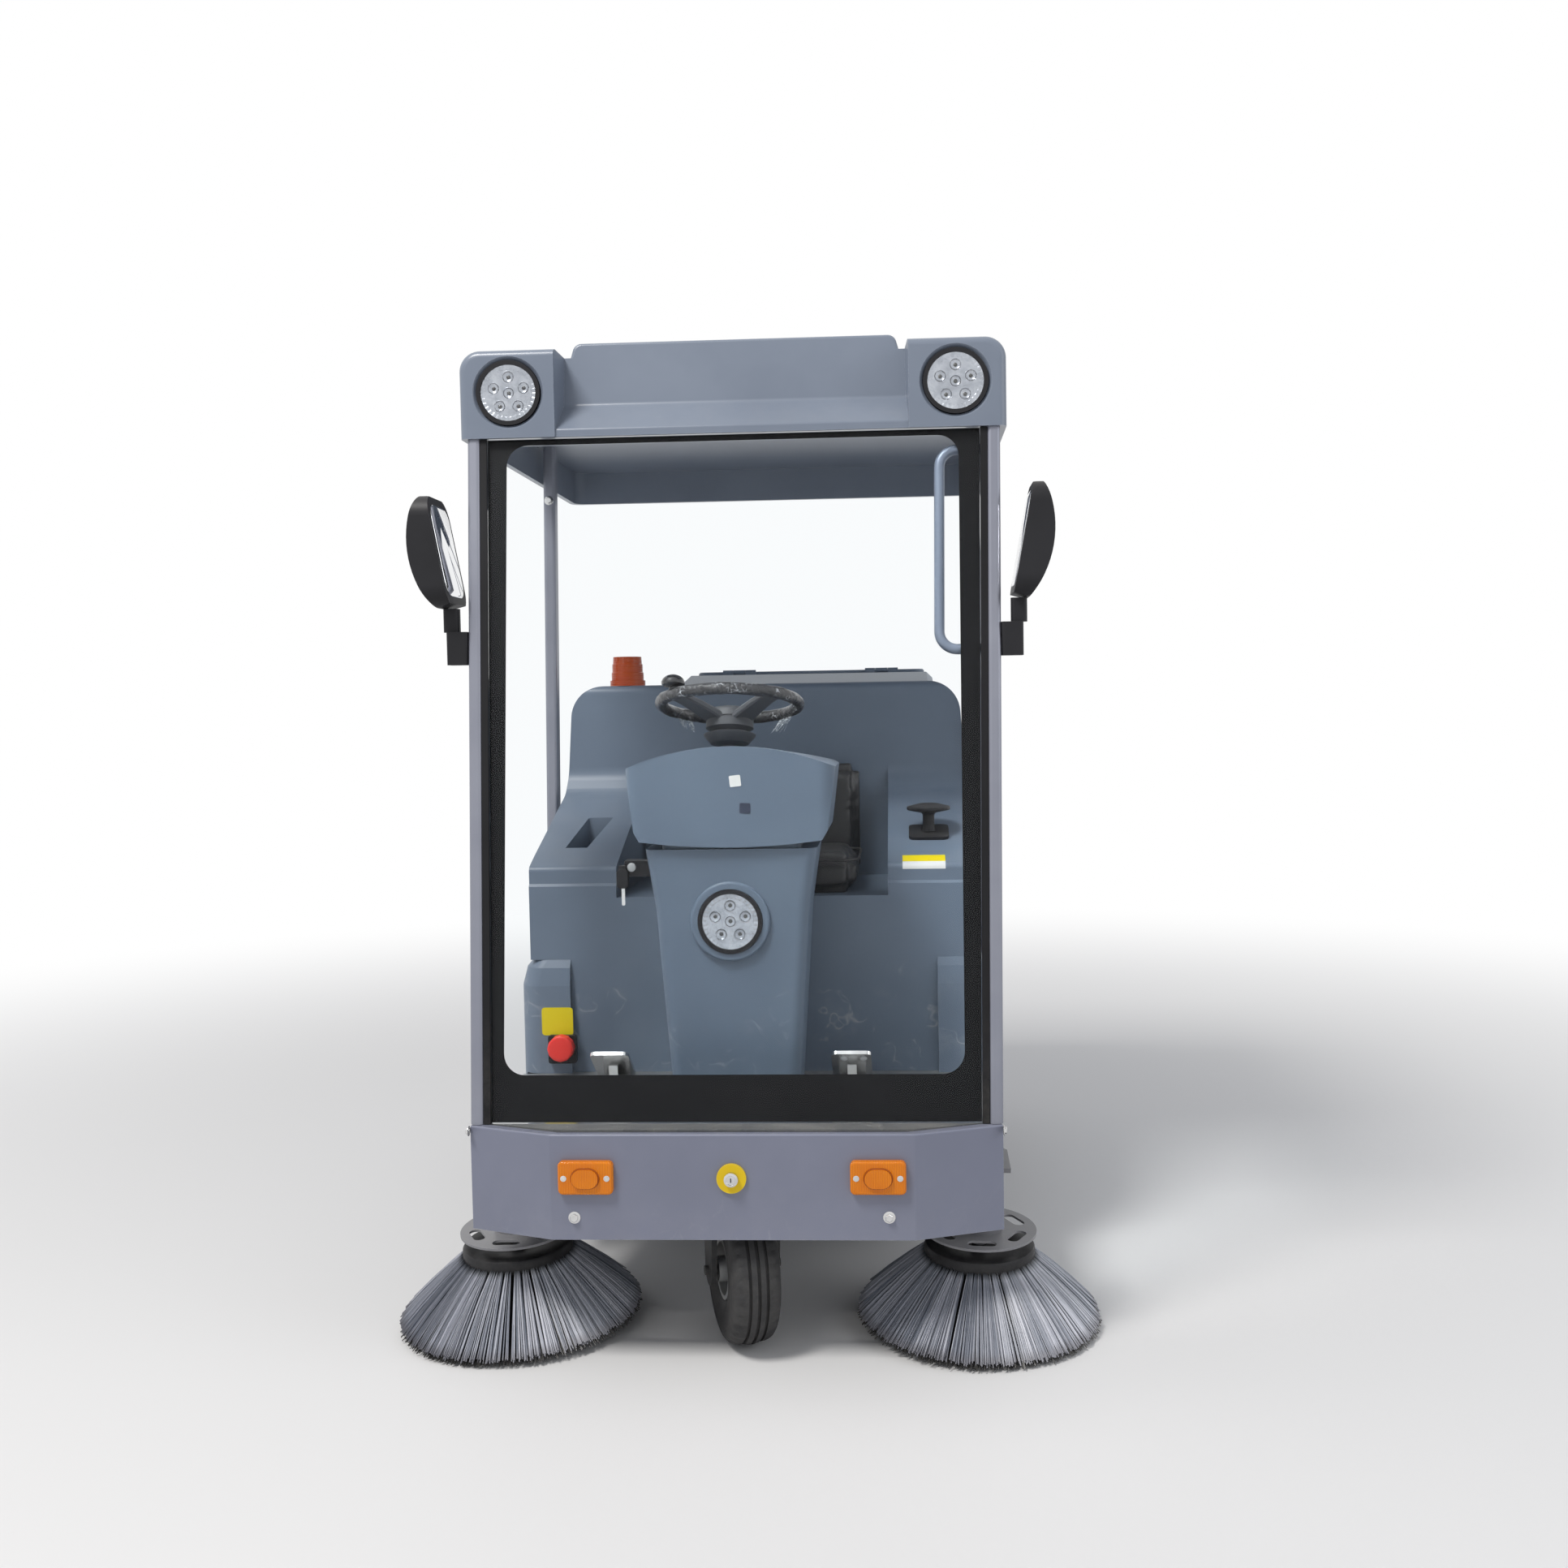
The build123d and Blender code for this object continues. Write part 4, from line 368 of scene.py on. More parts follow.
def lens_plastic(name, dark, light, ribs, turn=(0.0, 0.0, 0.0)):
    """Coloured lamp plastic with a soft inner change of colour and moulded ribs."""
    material, graph, shader = new_material(name)
    spot = graph.place()
    along = graph.node("Mapping", {"Vector": spot, "Rotation": turn})[0]
    bands = graph.node("TexWave", {"Vector": along, "Scale": ribs, "Distortion": 0.0}, bands_direction="X")["Fac"]
    depth = graph.noise(30.0, spot, Detail=2.0)
    colour = graph.blend(graph.times(bands, depth), dark + (1.0,), light + (1.0,))
    graph.fill(shader, {
        "Base Color": colour, "Roughness": graph.ramp(depth, 0.0, 1.0, 0.10, 0.22), "Coat Weight": 0.1,
        "Specular IOR Level": 0.3, "Normal": graph.bump(0.6, 0.001, bands)})
    return material


screen_glass = clear_pane("screen_clear", (0.95, 0.97, 0.98, 1.0), 1.15)
lamp_glass = clear_pane("lamp_clear", (0.97, 0.98, 0.99, 1.0), 1.3)
amber_marker = lens_plastic("marker_amber", (0.70, 0.17, 0.0), (0.90, 0.30, 0.0), 90.0)
amber_beacon = lens_plastic("amber_beacon", (0.42, 0.045, 0.004), (0.62, 0.11, 0.01), 60.0,
                            (0.0, math.radians(90), 0.0))
amber_boss = lens_plastic("amber_boss", (0.34, 0.07, 0.001), (0.50, 0.12, 0.002), 200.0)
tail_red = lens_plastic("tail_lens_red", (0.35, 0.008, 0.006), (0.62, 0.02, 0.015), 120.0)
print("glass and lenses:", screen_glass.name, lamp_glass.name, amber_marker.name)

# %% [markdown]
# Giving a finish to a carried-over node only changes its material slots; its mesh and place stay. A table
# of finish and nodes is easier to read than forty single calls.

# %% Finish for each node that stays
finish_nodes = [
    (bumper_coat, "bumper_apron"),
    (frame_black, "chassis_frame rear_stub_axles roller_housing steering_fork"),
    (plate_steel, "floor_plate"),
    (post_coat, "front_posts rear_posts"),
    (black_seal, "windscreen_seals dust_skirts roller_brush"),
    (screen_glass, "windscreen"),
    (roof_shell, "roof_canopy"),
    (slate_column, "console_column dash_shroud"),
    (slate, "lower_body upper_body rear_lid"),
    (handle_coat, "grab_handle"),
    (black_trim, "mirror_arms mirror_heads work_lamps switches control_lever"),
    (amber_marker, "marker_lights"),
    (yellow_ring, "bumper_lock"),
    (tail_red, "tail_lights"),
    (amber_beacon, "beacon"),
    (bright_steel, "pedals"),
    (hopper_shell, "battery_block hopper"),
    (rim_silver, "front_rim rear_rim_left rear_rim_right"),
    (arm_grey, "brush_arm_left brush_arm_right"),
]
for material, names in finish_nodes:
    for node_name in names.split():
        slots = nodes[node_name].data.materials
        slots.clear()
        slots.append(material)
print("nodes dressed:", sum(len(names.split()) for _, names in finish_nodes))

# %% [markdown]
# New pieces are meshes written from points. `turned` revolves a profile, which covers bolts, lenses,
# tyres and hubs, and `grid_faces` closes any grid of points with quads, so that every form below only
# has to say where its points are.

# %% Mesh helpers
FRONT = (0, -1, 0)
SIDES = ((-1, "right"), (1, "left"))


def piece(name, form, material, slot, body="root", smooth=True, matrix=None, angle=40.0):
    """A mesh object from (points, faces) that rides on a body."""
    points, faces = form
    mesh = bpy.data.meshes.new(name)
    if matrix is not None:
        points = [matrix @ Vector(point) for point in points]
    mesh.from_pydata([tuple(point) for point in points], [], faces)
    mesh.update()
    obj = linked(name, mesh)
    mesh.materials.append(material)
    if smooth:
        mesh.shade_smooth()
        mesh.set_sharp_from_angle(angle=math.radians(angle))
    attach(obj, body)
    return obj


def polar(radius, turn, height=0.0):
    """A point at a radius, a turn in radians and a height."""
    return Vector((radius * math.cos(turn), radius * math.sin(turn), height))


def grid_faces(rows, columns, wrap_rows=False, wrap_columns=False, flip=False, base=0):
    """Quads over a grid of points that is stored row by row."""
    faces = []
    for i in range(rows if wrap_rows else rows - 1):
        here, there = base + i * columns, base + (i + 1) % rows * columns
        for j in range(columns if wrap_columns else columns - 1):
            k = (j + 1) % columns
            faces.append((here + j, here + k, there + k, there + j) if flip else
                         (here + j, there + j, there + k, here + k))
    return faces


def turned(profile, steps=48, closed=False):
    """Points and faces of a profile of (radius, height) turned about Z."""
    points = [polar(radius, 2 * math.pi * step / steps, height)
              for step in range(steps) for radius, height in profile]
    return points, grid_faces(steps, len(profile), True, closed)


def frame_at(origin, z_dir, x_dir=(1, 0, 0)):
    """A matrix at a place whose Z looks along z_dir."""
    z = Vector(z_dir).normalized()
    x = (Vector(x_dir) - z * Vector(x_dir).dot(z)).normalized()
    return Matrix.Translation(origin) @ Matrix((x, z.cross(x), z)).transposed().to_4x4()


def merged(parts):
    """Several ((points, faces), matrix) joined into one form."""
    points, faces = [], []
    for (part_points, part_faces), matrix in parts:
        base = len(points)
        points.extend([matrix @ Vector(point) for point in part_points])
        faces.extend([tuple(base + index for index in face) for face in part_faces])
    return points, faces


def corner_turns(steps):
    """The signs of each corner and the turn of each point, four corners in order."""
    for sign_x, sign_y, first in ((1, 1, 0), (-1, 1, 90), (-1, -1, 180), (1, -1, 270)):
        for step in range(steps + 1):
            yield sign_x, sign_y, math.radians(first + 90 * step / steps)


def rounded_plate(width, height, corner, thick, lip=0.0):
    """A plate with round corners, from Z 0 to its thickness, its upper edge broken by lip."""
    outline = [(sx * (width / 2 - corner) + corner * math.cos(turn),
                sy * (height / 2 - corner) + corner * math.sin(turn)) for sx, sy, turn in corner_turns(6)]
    drawn_in = [(x * (1 - 2 * lip / width), y * (1 - 2 * lip / height)) for x, y in outline]
    rings = [(outline, 0.0), (outline, thick - lip), (drawn_in, thick)]
    points = [(x, y, z) for ring, z in rings for x, y in ring]
    count = len(outline)
    ends = [tuple(range(count - 1, -1, -1)), tuple(range(2 * count, 3 * count))]
    return points, ends + grid_faces(3, count, wrap_columns=True, flip=True)


print("mesh helpers ready")

# %% [markdown]
# The side brushes are the machine's signature: a black hub with tufts of thick grey bristles that spread
# like a skirt and end in a fringe of finer black ones. A particle system wouldn't export, so the bristles
# are thin three-sided rods in one mesh, with a tone and the distance along the rod stored on the points.
# The tone is random per tuft and bristle, with painted shade on bristles that lie deeper in a tuft.

# %% Bristle finish
def bristle_finish(name, dark, light, tip):
    """Bristle plastic whose tone comes from the mesh, with painted shade at the root under the hub and a stain at the
    tip.
    """
    material, graph, shader = new_material(name)
    tone, along = (graph.node("Attribute", attribute_name=label)["Fac"] for label in ("tone", "along"))
    streak = graph.noise(90.0, graph.place())
    mixed = graph.math("ADD", graph.times(tone, 0.8), graph.times(streak, 0.2))
    colour = graph.blend(mixed, dark + (1.0,), light + (1.0,))
    colour = graph.blend(graph.ramp(along, 0.86, 1.0), colour, tip + (1.0,))
    # Painted shade: the roots under the hub fade to near black.
    colour = graph.blend(graph.ramp(along, 0.12, 0.0), colour, (0.03, 0.035, 0.04, 1.0))
    graph.fill(shader, {"Base Color": colour, "Roughness": graph.ramp(mixed, 0.0, 1.0, 0.30, 0.42)})
    return material


grey_bristle = bristle_finish("grey_bristle", (0.10, 0.125, 0.17), (0.68, 0.69, 0.75), (0.26, 0.26, 0.29))
black_bristle = bristle_finish("black_bristle", (0.006, 0.006, 0.007), (0.030, 0.030, 0.034), (0.05, 0.048, 0.045))
print("bristle finishes ready")

# %% Bristles as rods
ROD_RINGS, ROD_SIDES = 4, 3


def bristle_piece(name, rods, material, slot, body, matrix):
    """One object of many rods of (root, tip, bow, thickness, tone)."""
    points, faces, tones, alongs = [], [], [], []
    for root, tip, bow, thick, tone in rods:
        run = tip - root
        side = run.cross(Vector((0, 0, 1))).normalized()
        out = side.cross(run).normalized()
        base = len(points)
        for ring in range(ROD_RINGS):
            share = ring / (ROD_RINGS - 1)
            middle = root + run * share + out * (bow * 4 * share * (1 - share))
            size = thick * (0.75 + 0.35 * share)
            for corner in range(ROD_SIDES):
                turn = 2 * math.pi * corner / ROD_SIDES
                points.append(middle + side * (size * math.cos(turn)) + out * (size * math.sin(turn)))
                tones.append(tone)
                alongs.append(share)
        faces += grid_faces(ROD_RINGS, ROD_SIDES, wrap_columns=True, flip=True, base=base)
        faces.append(tuple(range(len(points) - ROD_SIDES, len(points))))
    obj = piece(name, (points, faces), material, slot, body, matrix=matrix, angle=80.0)
    for label, values in (("tone", tones), ("along", alongs)):
        obj.data.attributes.new(label, "FLOAT", "POINT").data.foreach_set("value", values)
    return obj


print("rod helper ready")

# %% Side brushes
TUFTS, TUFT_BRISTLES, FRINGE_BRISTLES = 42, 38, 1300
TUFT_STEP = 2 * math.pi / TUFTS
BRUSH_X, BRUSH_Y, BRUSH_Z = 0.508, -0.750, 0.181
LEAN_OUT, LEAN_FORWARD = math.radians(1.5), math.radians(3.0)
ROOT_RADIUS, TIP_RADIUS, TUFT_DROP, GREY_THICK = 0.1175, 0.2635, 0.151, 0.00125
FRINGE_ROOT, FRINGE_TIPS, FRINGE_DROP, BLACK_THICK = 0.104, (0.236, 0.2655), 0.1625, 0.0011
brush_hub = [
    (0.0146, -0.004), (0.060, -0.004), (0.064, -0.001), (0.110, -0.0005), (0.1165, -0.002), (0.1192, -0.006),
    (0.1195, -0.024), (0.1165, -0.031), (0.0146, -0.0315),
]
brush_skirt = [(0.096, -0.0315), (0.106, -0.0300), (0.246, -0.1500), (0.240, -0.1530)]


def side_brush(side, side_name, seed):
    """Hub, backing skirt, grey tufts and black fringe of one side brush."""
    rng = random.Random(seed)
    lean = Vector((side * math.sin(LEAN_OUT), -math.sin(LEAN_FORWARD), 1.0))
    matrix = frame_at((side * BRUSH_X, BRUSH_Y, BRUSH_Z), lean)
    body = "brush_spin_" + side_name
    for name, profile, material in (("brush_hub_", brush_hub, black_trim), ("brush_skirt_", brush_skirt, black_seal)):
        piece(name + side_name, turned(profile, 72, closed=True), material, "bristle", body, matrix=matrix)
    grey, black = [], []
    for tuft in range(TUFTS):
        middle = TUFT_STEP * (tuft + rng.uniform(-0.06, 0.06))
        tuft_tone = rng.uniform(0.45, 0.95)
        for _ in range(TUFT_BRISTLES):
            spread = rng.uniform(-0.5, 0.5) * TUFT_STEP
            depth = rng.uniform(0.0, 1.0)
            tip_radius = TIP_RADIUS - 0.013 * depth + rng.uniform(-0.003, 0.0)
            drop = TUFT_DROP + rng.uniform(-0.006, 0.004)
            root = polar(ROOT_RADIUS - 0.007 * depth, middle + 0.72 * spread, -0.019 - 0.006 * depth)
            tip = polar(tip_radius, middle + 1.02 * spread, -drop)
            # Bristles deeper in a tuft are made darker: painted shade inside the tuft.
            tone = min(1.0, max(0.0, tuft_tone + rng.uniform(-0.45, 0.3) - 0.25 * depth))
            grey.append((root, tip, 0.0025 + 0.002 * rng.random(), GREY_THICK, tone))
    for _ in range(FRINGE_BRISTLES):
        turn = rng.uniform(0, 2 * math.pi)
        tip_turn = turn + rng.uniform(-0.03, 0.03)
        tip_radius = rng.uniform(*FRINGE_TIPS)
        tip = polar(tip_radius, tip_turn, -FRINGE_DROP + rng.uniform(0.0, 0.005))
        black.append((polar(FRINGE_ROOT, turn, -0.029), tip, 0.0, BLACK_THICK, rng.random()))
    tufts = bristle_piece("brush_tufts_" + side_name, grey, grey_bristle, "bristle", body, matrix)
    bristle_piece("brush_fringe_" + side_name, black, black_bristle, "bristle", body, matrix)
    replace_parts(tufts, "side_brush_" + side_name)
    print("side brush", side_name, len(grey) + len(black), "bristles")


side_brush(-1, "right", 23)
side_brush(1, "left", 11)

# %% [markdown]
# The roller under the machine sweeps into the hopper. The real one has rows of bristles in a shallow
# spiral, so short rods stand on the core in twisted rows instead of the construction's straight strips.

# %% Roller brush
ROLLER_ROWS, ROLLER_STEPS, ROLLER_LENGTH = 16, 86, 0.624
CORE_RADIUS, ROLLER_REACH, ROLLER_TWIST, ROLLER_THICK = 0.075, 0.1455, 0.30, 0.0016


def roller():
    """Core and spiral rows of bristles of the roller."""
    rng = random.Random(5)
    matrix = frame_at((0, 0.040, 0.151), (1, 0, 0), (0, 1, 0))
    half = [(0.0, 0.3318), (0.0136, 0.3318), (0.0138, 0.3180), (0.076, 0.3178), (0.078, 0.316)]
    core = [(radius, -height) for radius, height in half] + half[::-1]
    piece("roller_core", turned(core), frame_black, "roller_bristle", "roller", matrix=matrix)
    rods = []
    for row in range(ROLLER_ROWS):
        for step in range(ROLLER_STEPS):
            along = ROLLER_LENGTH * (step / (ROLLER_STEPS - 1) - 0.5)
            twist = ROLLER_TWIST * math.sin(math.pi * along / ROLLER_LENGTH)
            for _ in range(2):
                turn = 2 * math.pi * row / ROLLER_ROWS + twist + rng.uniform(-0.05, 0.05)
                height = along + rng.uniform(-0.003, 0.003)
                reach = ROLLER_REACH + rng.uniform(-0.003, 0.001)
                tip = polar(reach, turn + rng.uniform(-0.02, 0.02), height)
                rods.append((polar(CORE_RADIUS, turn, height), tip, 0.0, ROLLER_THICK, rng.random()))
    bristles = bristle_piece("roller_bristles", rods, black_bristle, "roller_bristle", "roller", matrix)
    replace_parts(bristles, "roller_brush")
    print("roller:", len(rods), "bristles")


roller()

# %% [markdown]
# The tyres are solid rubber with three grooves round the tread, small notches along the shoulders and
# raised rings on the sidewall. A revolved profile gives the grooves and rings; at every third step the
# shoulder points move inwards and make the notches.

# %% Tyre finish and tyres
TYRE_STEPS, NOTCH_EVERY, NOTCH_DEPTH = 108, 3, 0.0035
SHOULDER_FROM, SHOULDER_TO, SHOULDER_DEEP = 0.029, 0.047, 0.020
FRONT_RADIUS, REAR_RADIUS, TYRE_DEPTH, REAR_X, REAR_Y = 0.160, 0.200, 0.096, 0.464, 0.560
tyre_rubber = finish("solid_tyre", (0.020, 0.020, 0.022), (0.038, 0.038, 0.040), 0.62, edge=(0.07, 0.07, 0.068),
    dust=(0.62, 0.06, 0.03), bump=0.3, grain=700.0, depth=0.0005, gloss=0.25)
sidewall = [  # from the bead outwards, (radius over the bead, half width)
    (0.0003, 0.0395), (0.006, 0.0445), (0.014, 0.0482), (0.022, 0.0506), (0.030, 0.0512), (0.0335, 0.0522),
    (0.037, 0.0512), (0.056, 0.0516), (0.0585, 0.0523), (0.061, 0.0514), (0.070, 0.0505), (0.078, 0.0478),
    (0.0845, 0.0425), (0.0882, 0.0365), (0.0902, 0.0300), (0.0910, 0.0215), (0.0852, 0.0208),
    (0.0852, 0.0152), (0.0922, 0.0146), (0.0944, 0.0037), (0.0880, 0.0030),
]


def tyre(name, body, centre, axle, radius, node):
    """One tyre about its axle, from a half profile that is mirrored."""
    half = [(radius - TYRE_DEPTH + rise, width) for rise, width in sidewall]
    profile = half + [(r, -width) for r, width in reversed(half)]
    points, faces = turned(profile, TYRE_STEPS, closed=True)
    for step in range(0, TYRE_STEPS, NOTCH_EVERY):
        for i, (r, width) in enumerate(profile):
            if SHOULDER_FROM < abs(width) < SHOULDER_TO and r > radius - SHOULDER_DEEP:
                point = points[step * len(profile) + i]
                point.xy *= 1 - NOTCH_DEPTH / r
    matrix = frame_at(centre, axle, (0, 0, 1))
    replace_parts(piece(name, (points, faces), tyre_rubber, "tyre_rubber", body, matrix=matrix, angle=32.0), node)


steer_turn = math.radians(19.0)
tyre("front_tyre_tread", "front_wheel", (0.0, -0.845, FRONT_RADIUS), polar(1.0, steer_turn), FRONT_RADIUS,
     "front_tyre")
for side, side_name in SIDES:
    tyre("rear_tyre_tread_" + side_name, "rear_wheel_" + side_name, (side * REAR_X, REAR_Y, REAR_RADIUS),
         (side, 0, 0), REAR_RADIUS, "rear_tyre_" + side_name)
print("three tyres")

# %% [markdown]
# The steering wheel is still in its crinkled clear wrap, with torn tufts of film hanging low on both
# sides and a black spinner knob. The rim is a torus whose surface is pushed in and out by a few smooth
# waves, so the film looks creased; the gloss of the coat and pale lines painted along the creases as
# highlights do the rest. Hub and spokes are dark grey.

# %% Steering wheel finishes
def wrap_film():
    """Black rim under a creased clear film: dark base, sharp coat, pale crease lines painted as highlights."""
    material = finish("wrapped_rim", (0.014, 0.014, 0.016), (0.030, 0.030, 0.034), 0.40)
    graph = Graph(material.node_tree)
    shader = material.node_tree.nodes["Principled BSDF"]
    spot = graph.place()
    cells = {"Vector": spot, "Scale": 85.0, "Randomness": 1.0}
    creases = graph.node("TexVoronoi", cells, feature="DISTANCE_TO_EDGE")["Distance"]
    warp = graph.noise(45.0, spot, Detail=4.0)
    relief = graph.math("ADD", graph.times(creases, 1.6), warp)
    # Painted highlight: pale lines along the creases of the film.
    crease_highlight = graph.times(graph.ramp(creases, 0.10, 0.0), graph.ramp(warp, 0.5, 0.7))
    base = shader.inputs["Base Color"].links[0].from_socket
    graph.fill(shader, {
        "Normal": graph.bump(1.0, 0.002, relief), "Base Color": graph.blend(crease_highlight, base, (0.45, 0.47, 0.50, 1.0)),
        "Coat Weight": 0.6, "Coat Roughness": 0.08})
    return material


def torn_film():
    """Loose milky film, mostly see-through."""
    material, graph, shader = new_material("torn_film")
    streaks = graph.noise(160.0, graph.place(), Detail=3.0)
    graph.fill(shader, {
        "Base Color": graph.blend(streaks, (0.35, 0.40, 0.42, 1.0), (0.75, 0.78, 0.80, 1.0)),
        "Alpha": graph.ramp(streaks, 0.35, 0.65, 0.08, 0.55), "Roughness": graph.ramp(streaks, 0.0, 1.0, 0.10, 0.30)})
    return material


rim_wrap = wrap_film()
loose_film = torn_film()
wheel_grey = finish("wheel_plastic", (0.066, 0.070, 0.078), (0.084, 0.088, 0.097), 0.50, edge=(0.16, 0.16, 0.17),
    bump=0.05, gloss=0.4)
knob_black = finish("gloss_knob", (0.010, 0.010, 0.011), (0.018, 0.018, 0.020), 0.18, bump=0.02, coat=0.6)
print("wheel finishes ready")

# %% Steering wheel
WHEEL_RADIUS, RIM_TUBE, CREASE = 0.153, 0.0130, 0.0022
wheel_lean = math.radians(13.0)
wheel_matrix = frame_at((-0.027, -0.630, 1.354), (0, math.sin(wheel_lean), math.cos(wheel_lean)))
unmoved = Matrix.Identity(4)


def swept_ring(turns, sides, middle, tube):
    """A ring swept round Z: middle(turn) gives its centre line and tube(turn, side) its radius."""
    points = []
    for a in (2 * math.pi * i / turns for i in range(turns)):
        for b in (2 * math.pi * j / sides for j in range(sides)):
            points.append(middle(a) + polar(tube(a, b) * math.cos(b), a, tube(a, b) * math.sin(b)))
    return points, grid_faces(turns, sides, True, True)


def creased_rim():
    """The rim: a torus whose tube swells and shrinks by nine smooth waves."""
    rng = random.Random(3)
    waves = [(rng.randint(7, 40), rng.randint(1, 4), rng.uniform(0, 6.28)) for _ in range(9)]

    def tube(a, b):
        return RIM_TUBE + sum(math.sin(n * a + m * b + p) for n, m, p in waves) / 9 * CREASE
    return swept_ring(128, 20, lambda a: polar(WHEEL_RADIUS, a), tube)


def spoke(turn_deg, root_width, tip_width):
    """A flat spoke from the hub to the rim with rounded edges, rising and slimming outwards."""
    turn = math.radians(turn_deg)
    across = polar(1.0, turn + math.pi / 2)
    section = [(-0.5, -0.25), (-0.5, 0.25), (-0.44, 0.5), (0.44, 0.5), (0.5, 0.25), (0.5, -0.25), (0.44, -0.5),
               (-0.44, -0.5)]
    points = []
    for share in (0.0, 0.25, 0.5, 0.75, 1.0):
        middle = polar(0.030 + 0.116 * share, turn, -0.040 * (1 - share) ** 1.3)
        width = root_width + (tip_width - root_width) * share
        thick = 0.019 - 0.008 * share
        points.extend(middle + across * (u * width) + Vector((0, 0, v * thick)) for u, v in section)
    return points, grid_faces(5, len(section), wrap_columns=True, flip=True)


hub_profile = [
    (0.0, -0.0085), (0.028, -0.0090), (0.042, -0.0125), (0.0490, -0.020), (0.0512, -0.0335), (0.0490, -0.0345),
    (0.0490, -0.0365), (0.0526, -0.0375), (0.0530, -0.056), (0.040, -0.064), (0.0400, -0.068), (0.0580, -0.0705),
    (0.0570, -0.0740), (0.0425, -0.0905), (0.0180, -0.0955), (0.0178, -0.1895), (0.0, -0.1895),
]
knob_profile = [
    (0.0, 0.0435), (0.009, 0.0425), (0.017, 0.0390), (0.0228, 0.0335), (0.0256, 0.0270), (0.0250, 0.0215),
    (0.0205, 0.0175), (0.0120, 0.0162), (0.0088, 0.0155), (0.0088, 0.0105), (0.0, 0.0105),
]
hub_parts = [spoke(-42, 0.060, 0.042), spoke(-138, 0.060, 0.042), spoke(90, 0.048, 0.038), turned(hub_profile, 56)]
knob_matrix = wheel_matrix @ Matrix.Translation(polar(WHEEL_RADIUS, math.radians(-137.0)))
on_wheel = {"slot": "steering_plastic", "body": "steering_wheel_body"}
rim = piece("steering_rim", creased_rim(), rim_wrap, matrix=wheel_matrix, **on_wheel)
piece("steering_hub", merged([(part, unmoved) for part in hub_parts]), wheel_grey, matrix=wheel_matrix, angle=35.0,
      **on_wheel)
piece("spinner_knob", turned(knob_profile, 40), knob_black, matrix=knob_matrix, **on_wheel)
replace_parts(rim, "steering_wheel")
print("steering wheel: rim, hub, knob")

# %% Torn film on the steering wheel
FILM_RINGS = 4
film_places = ((40, 13, 0.050), (139, 10, 0.038), (-8, 6, 0.014), (182, 6, 0.014))  # degrees, strips, reach


def film_tufts():
    """Small curling strips of film below the rim."""
    rng = random.Random(9)
    points, faces = [], []
    for middle, count, reach in film_places:
        for _ in range(count):
            turn = math.radians(middle + rng.uniform(-11, 11))
            half_width = polar(1.0, turn + math.pi / 2) * rng.uniform(0.002, 0.006)
            down = polar(rng.uniform(-0.75, -0.10), turn, -1.0).normalized()
            strip_reach = reach * rng.uniform(0.35, 1.0)
            faces += grid_faces(FILM_RINGS, 2, flip=True, base=len(points))
            for ring in range(FILM_RINGS):
                share = ring / (FILM_RINGS - 1)
                curl = polar(-0.010 * share * share * rng.uniform(0.3, 1.0), turn)
                spot = polar(0.151, turn, -0.0105) + down * (strip_reach * share) + curl
                points += [spot - half_width * (1.0 - 0.6 * share), spot + half_width * (1.0 - 0.6 * share)]
    return points, faces


film = piece("film_tufts", film_tufts(), loose_film, matrix=wheel_matrix, angle=80.0, **on_wheel)
print("film strips:", len(film.data.polygons))

# %% [markdown]
# The seat is black vinyl over foam. Each pad starts from a block a little smaller than the construction,
# is remeshed evenly and blown up by a short cloth run with inner pressure, the way foam fills a sewn
# cover. The piping along the seam is a thin tube laid on afterwards.

# %% Vinyl finish
def vinyl():
    """Grained black vinyl with soft creases."""
    material = finish("grained_vinyl", (0.012, 0.012, 0.013), (0.024, 0.024, 0.026), 0.42, edge=(0.05, 0.05, 0.05),
                      dust=(0.0, 0.0, 0.04), edge_amount=0.3)
    graph = Graph(material.node_tree)
    spot = graph.place()
    leather = graph.node("TexVoronoi", {"Vector": spot, "Scale": 420.0})["Distance"]
    relief = graph.math("ADD", graph.times(leather, 0.25), graph.noise(16.0, spot, Detail=2.0))
    graph.fill(material.node_tree.nodes["Principled BSDF"], {"Normal": graph.bump(0.5, 0.003, relief)})
    return material


seat_vinyl = vinyl()
print("made", seat_vinyl.name)

# %% Seat pads
CLOTH_SHOTS, PRESSURE, VOXEL, QUICK_VOXEL = 20, 4.0, 0.006, 0.012


def block_mesh(low, high, round_by):
    """A box with broken edges."""
    mesh = bpy.data.meshes.new("pad_block")
    work = bmesh.new()
    bmesh.ops.create_cube(work, size=1.0)
    for vert in work.verts:
        for axis in range(3):
            vert.co[axis] = high[axis] if vert.co[axis] > 0 else low[axis]
    bmesh.ops.bevel(work, geom=list(work.edges), offset=round_by, segments=4, affect="EDGES")
    work.to_mesh(mesh)
    work.free()
    return mesh


def apply_modifiers(obj):
    """The object keeps the mesh that its modifiers make, without the modifiers."""
    made = bpy.data.meshes.new_from_object(obj.evaluated_get(bpy.context.evaluated_depsgraph_get()))
    obj.modifiers.clear()
    obj.data = made


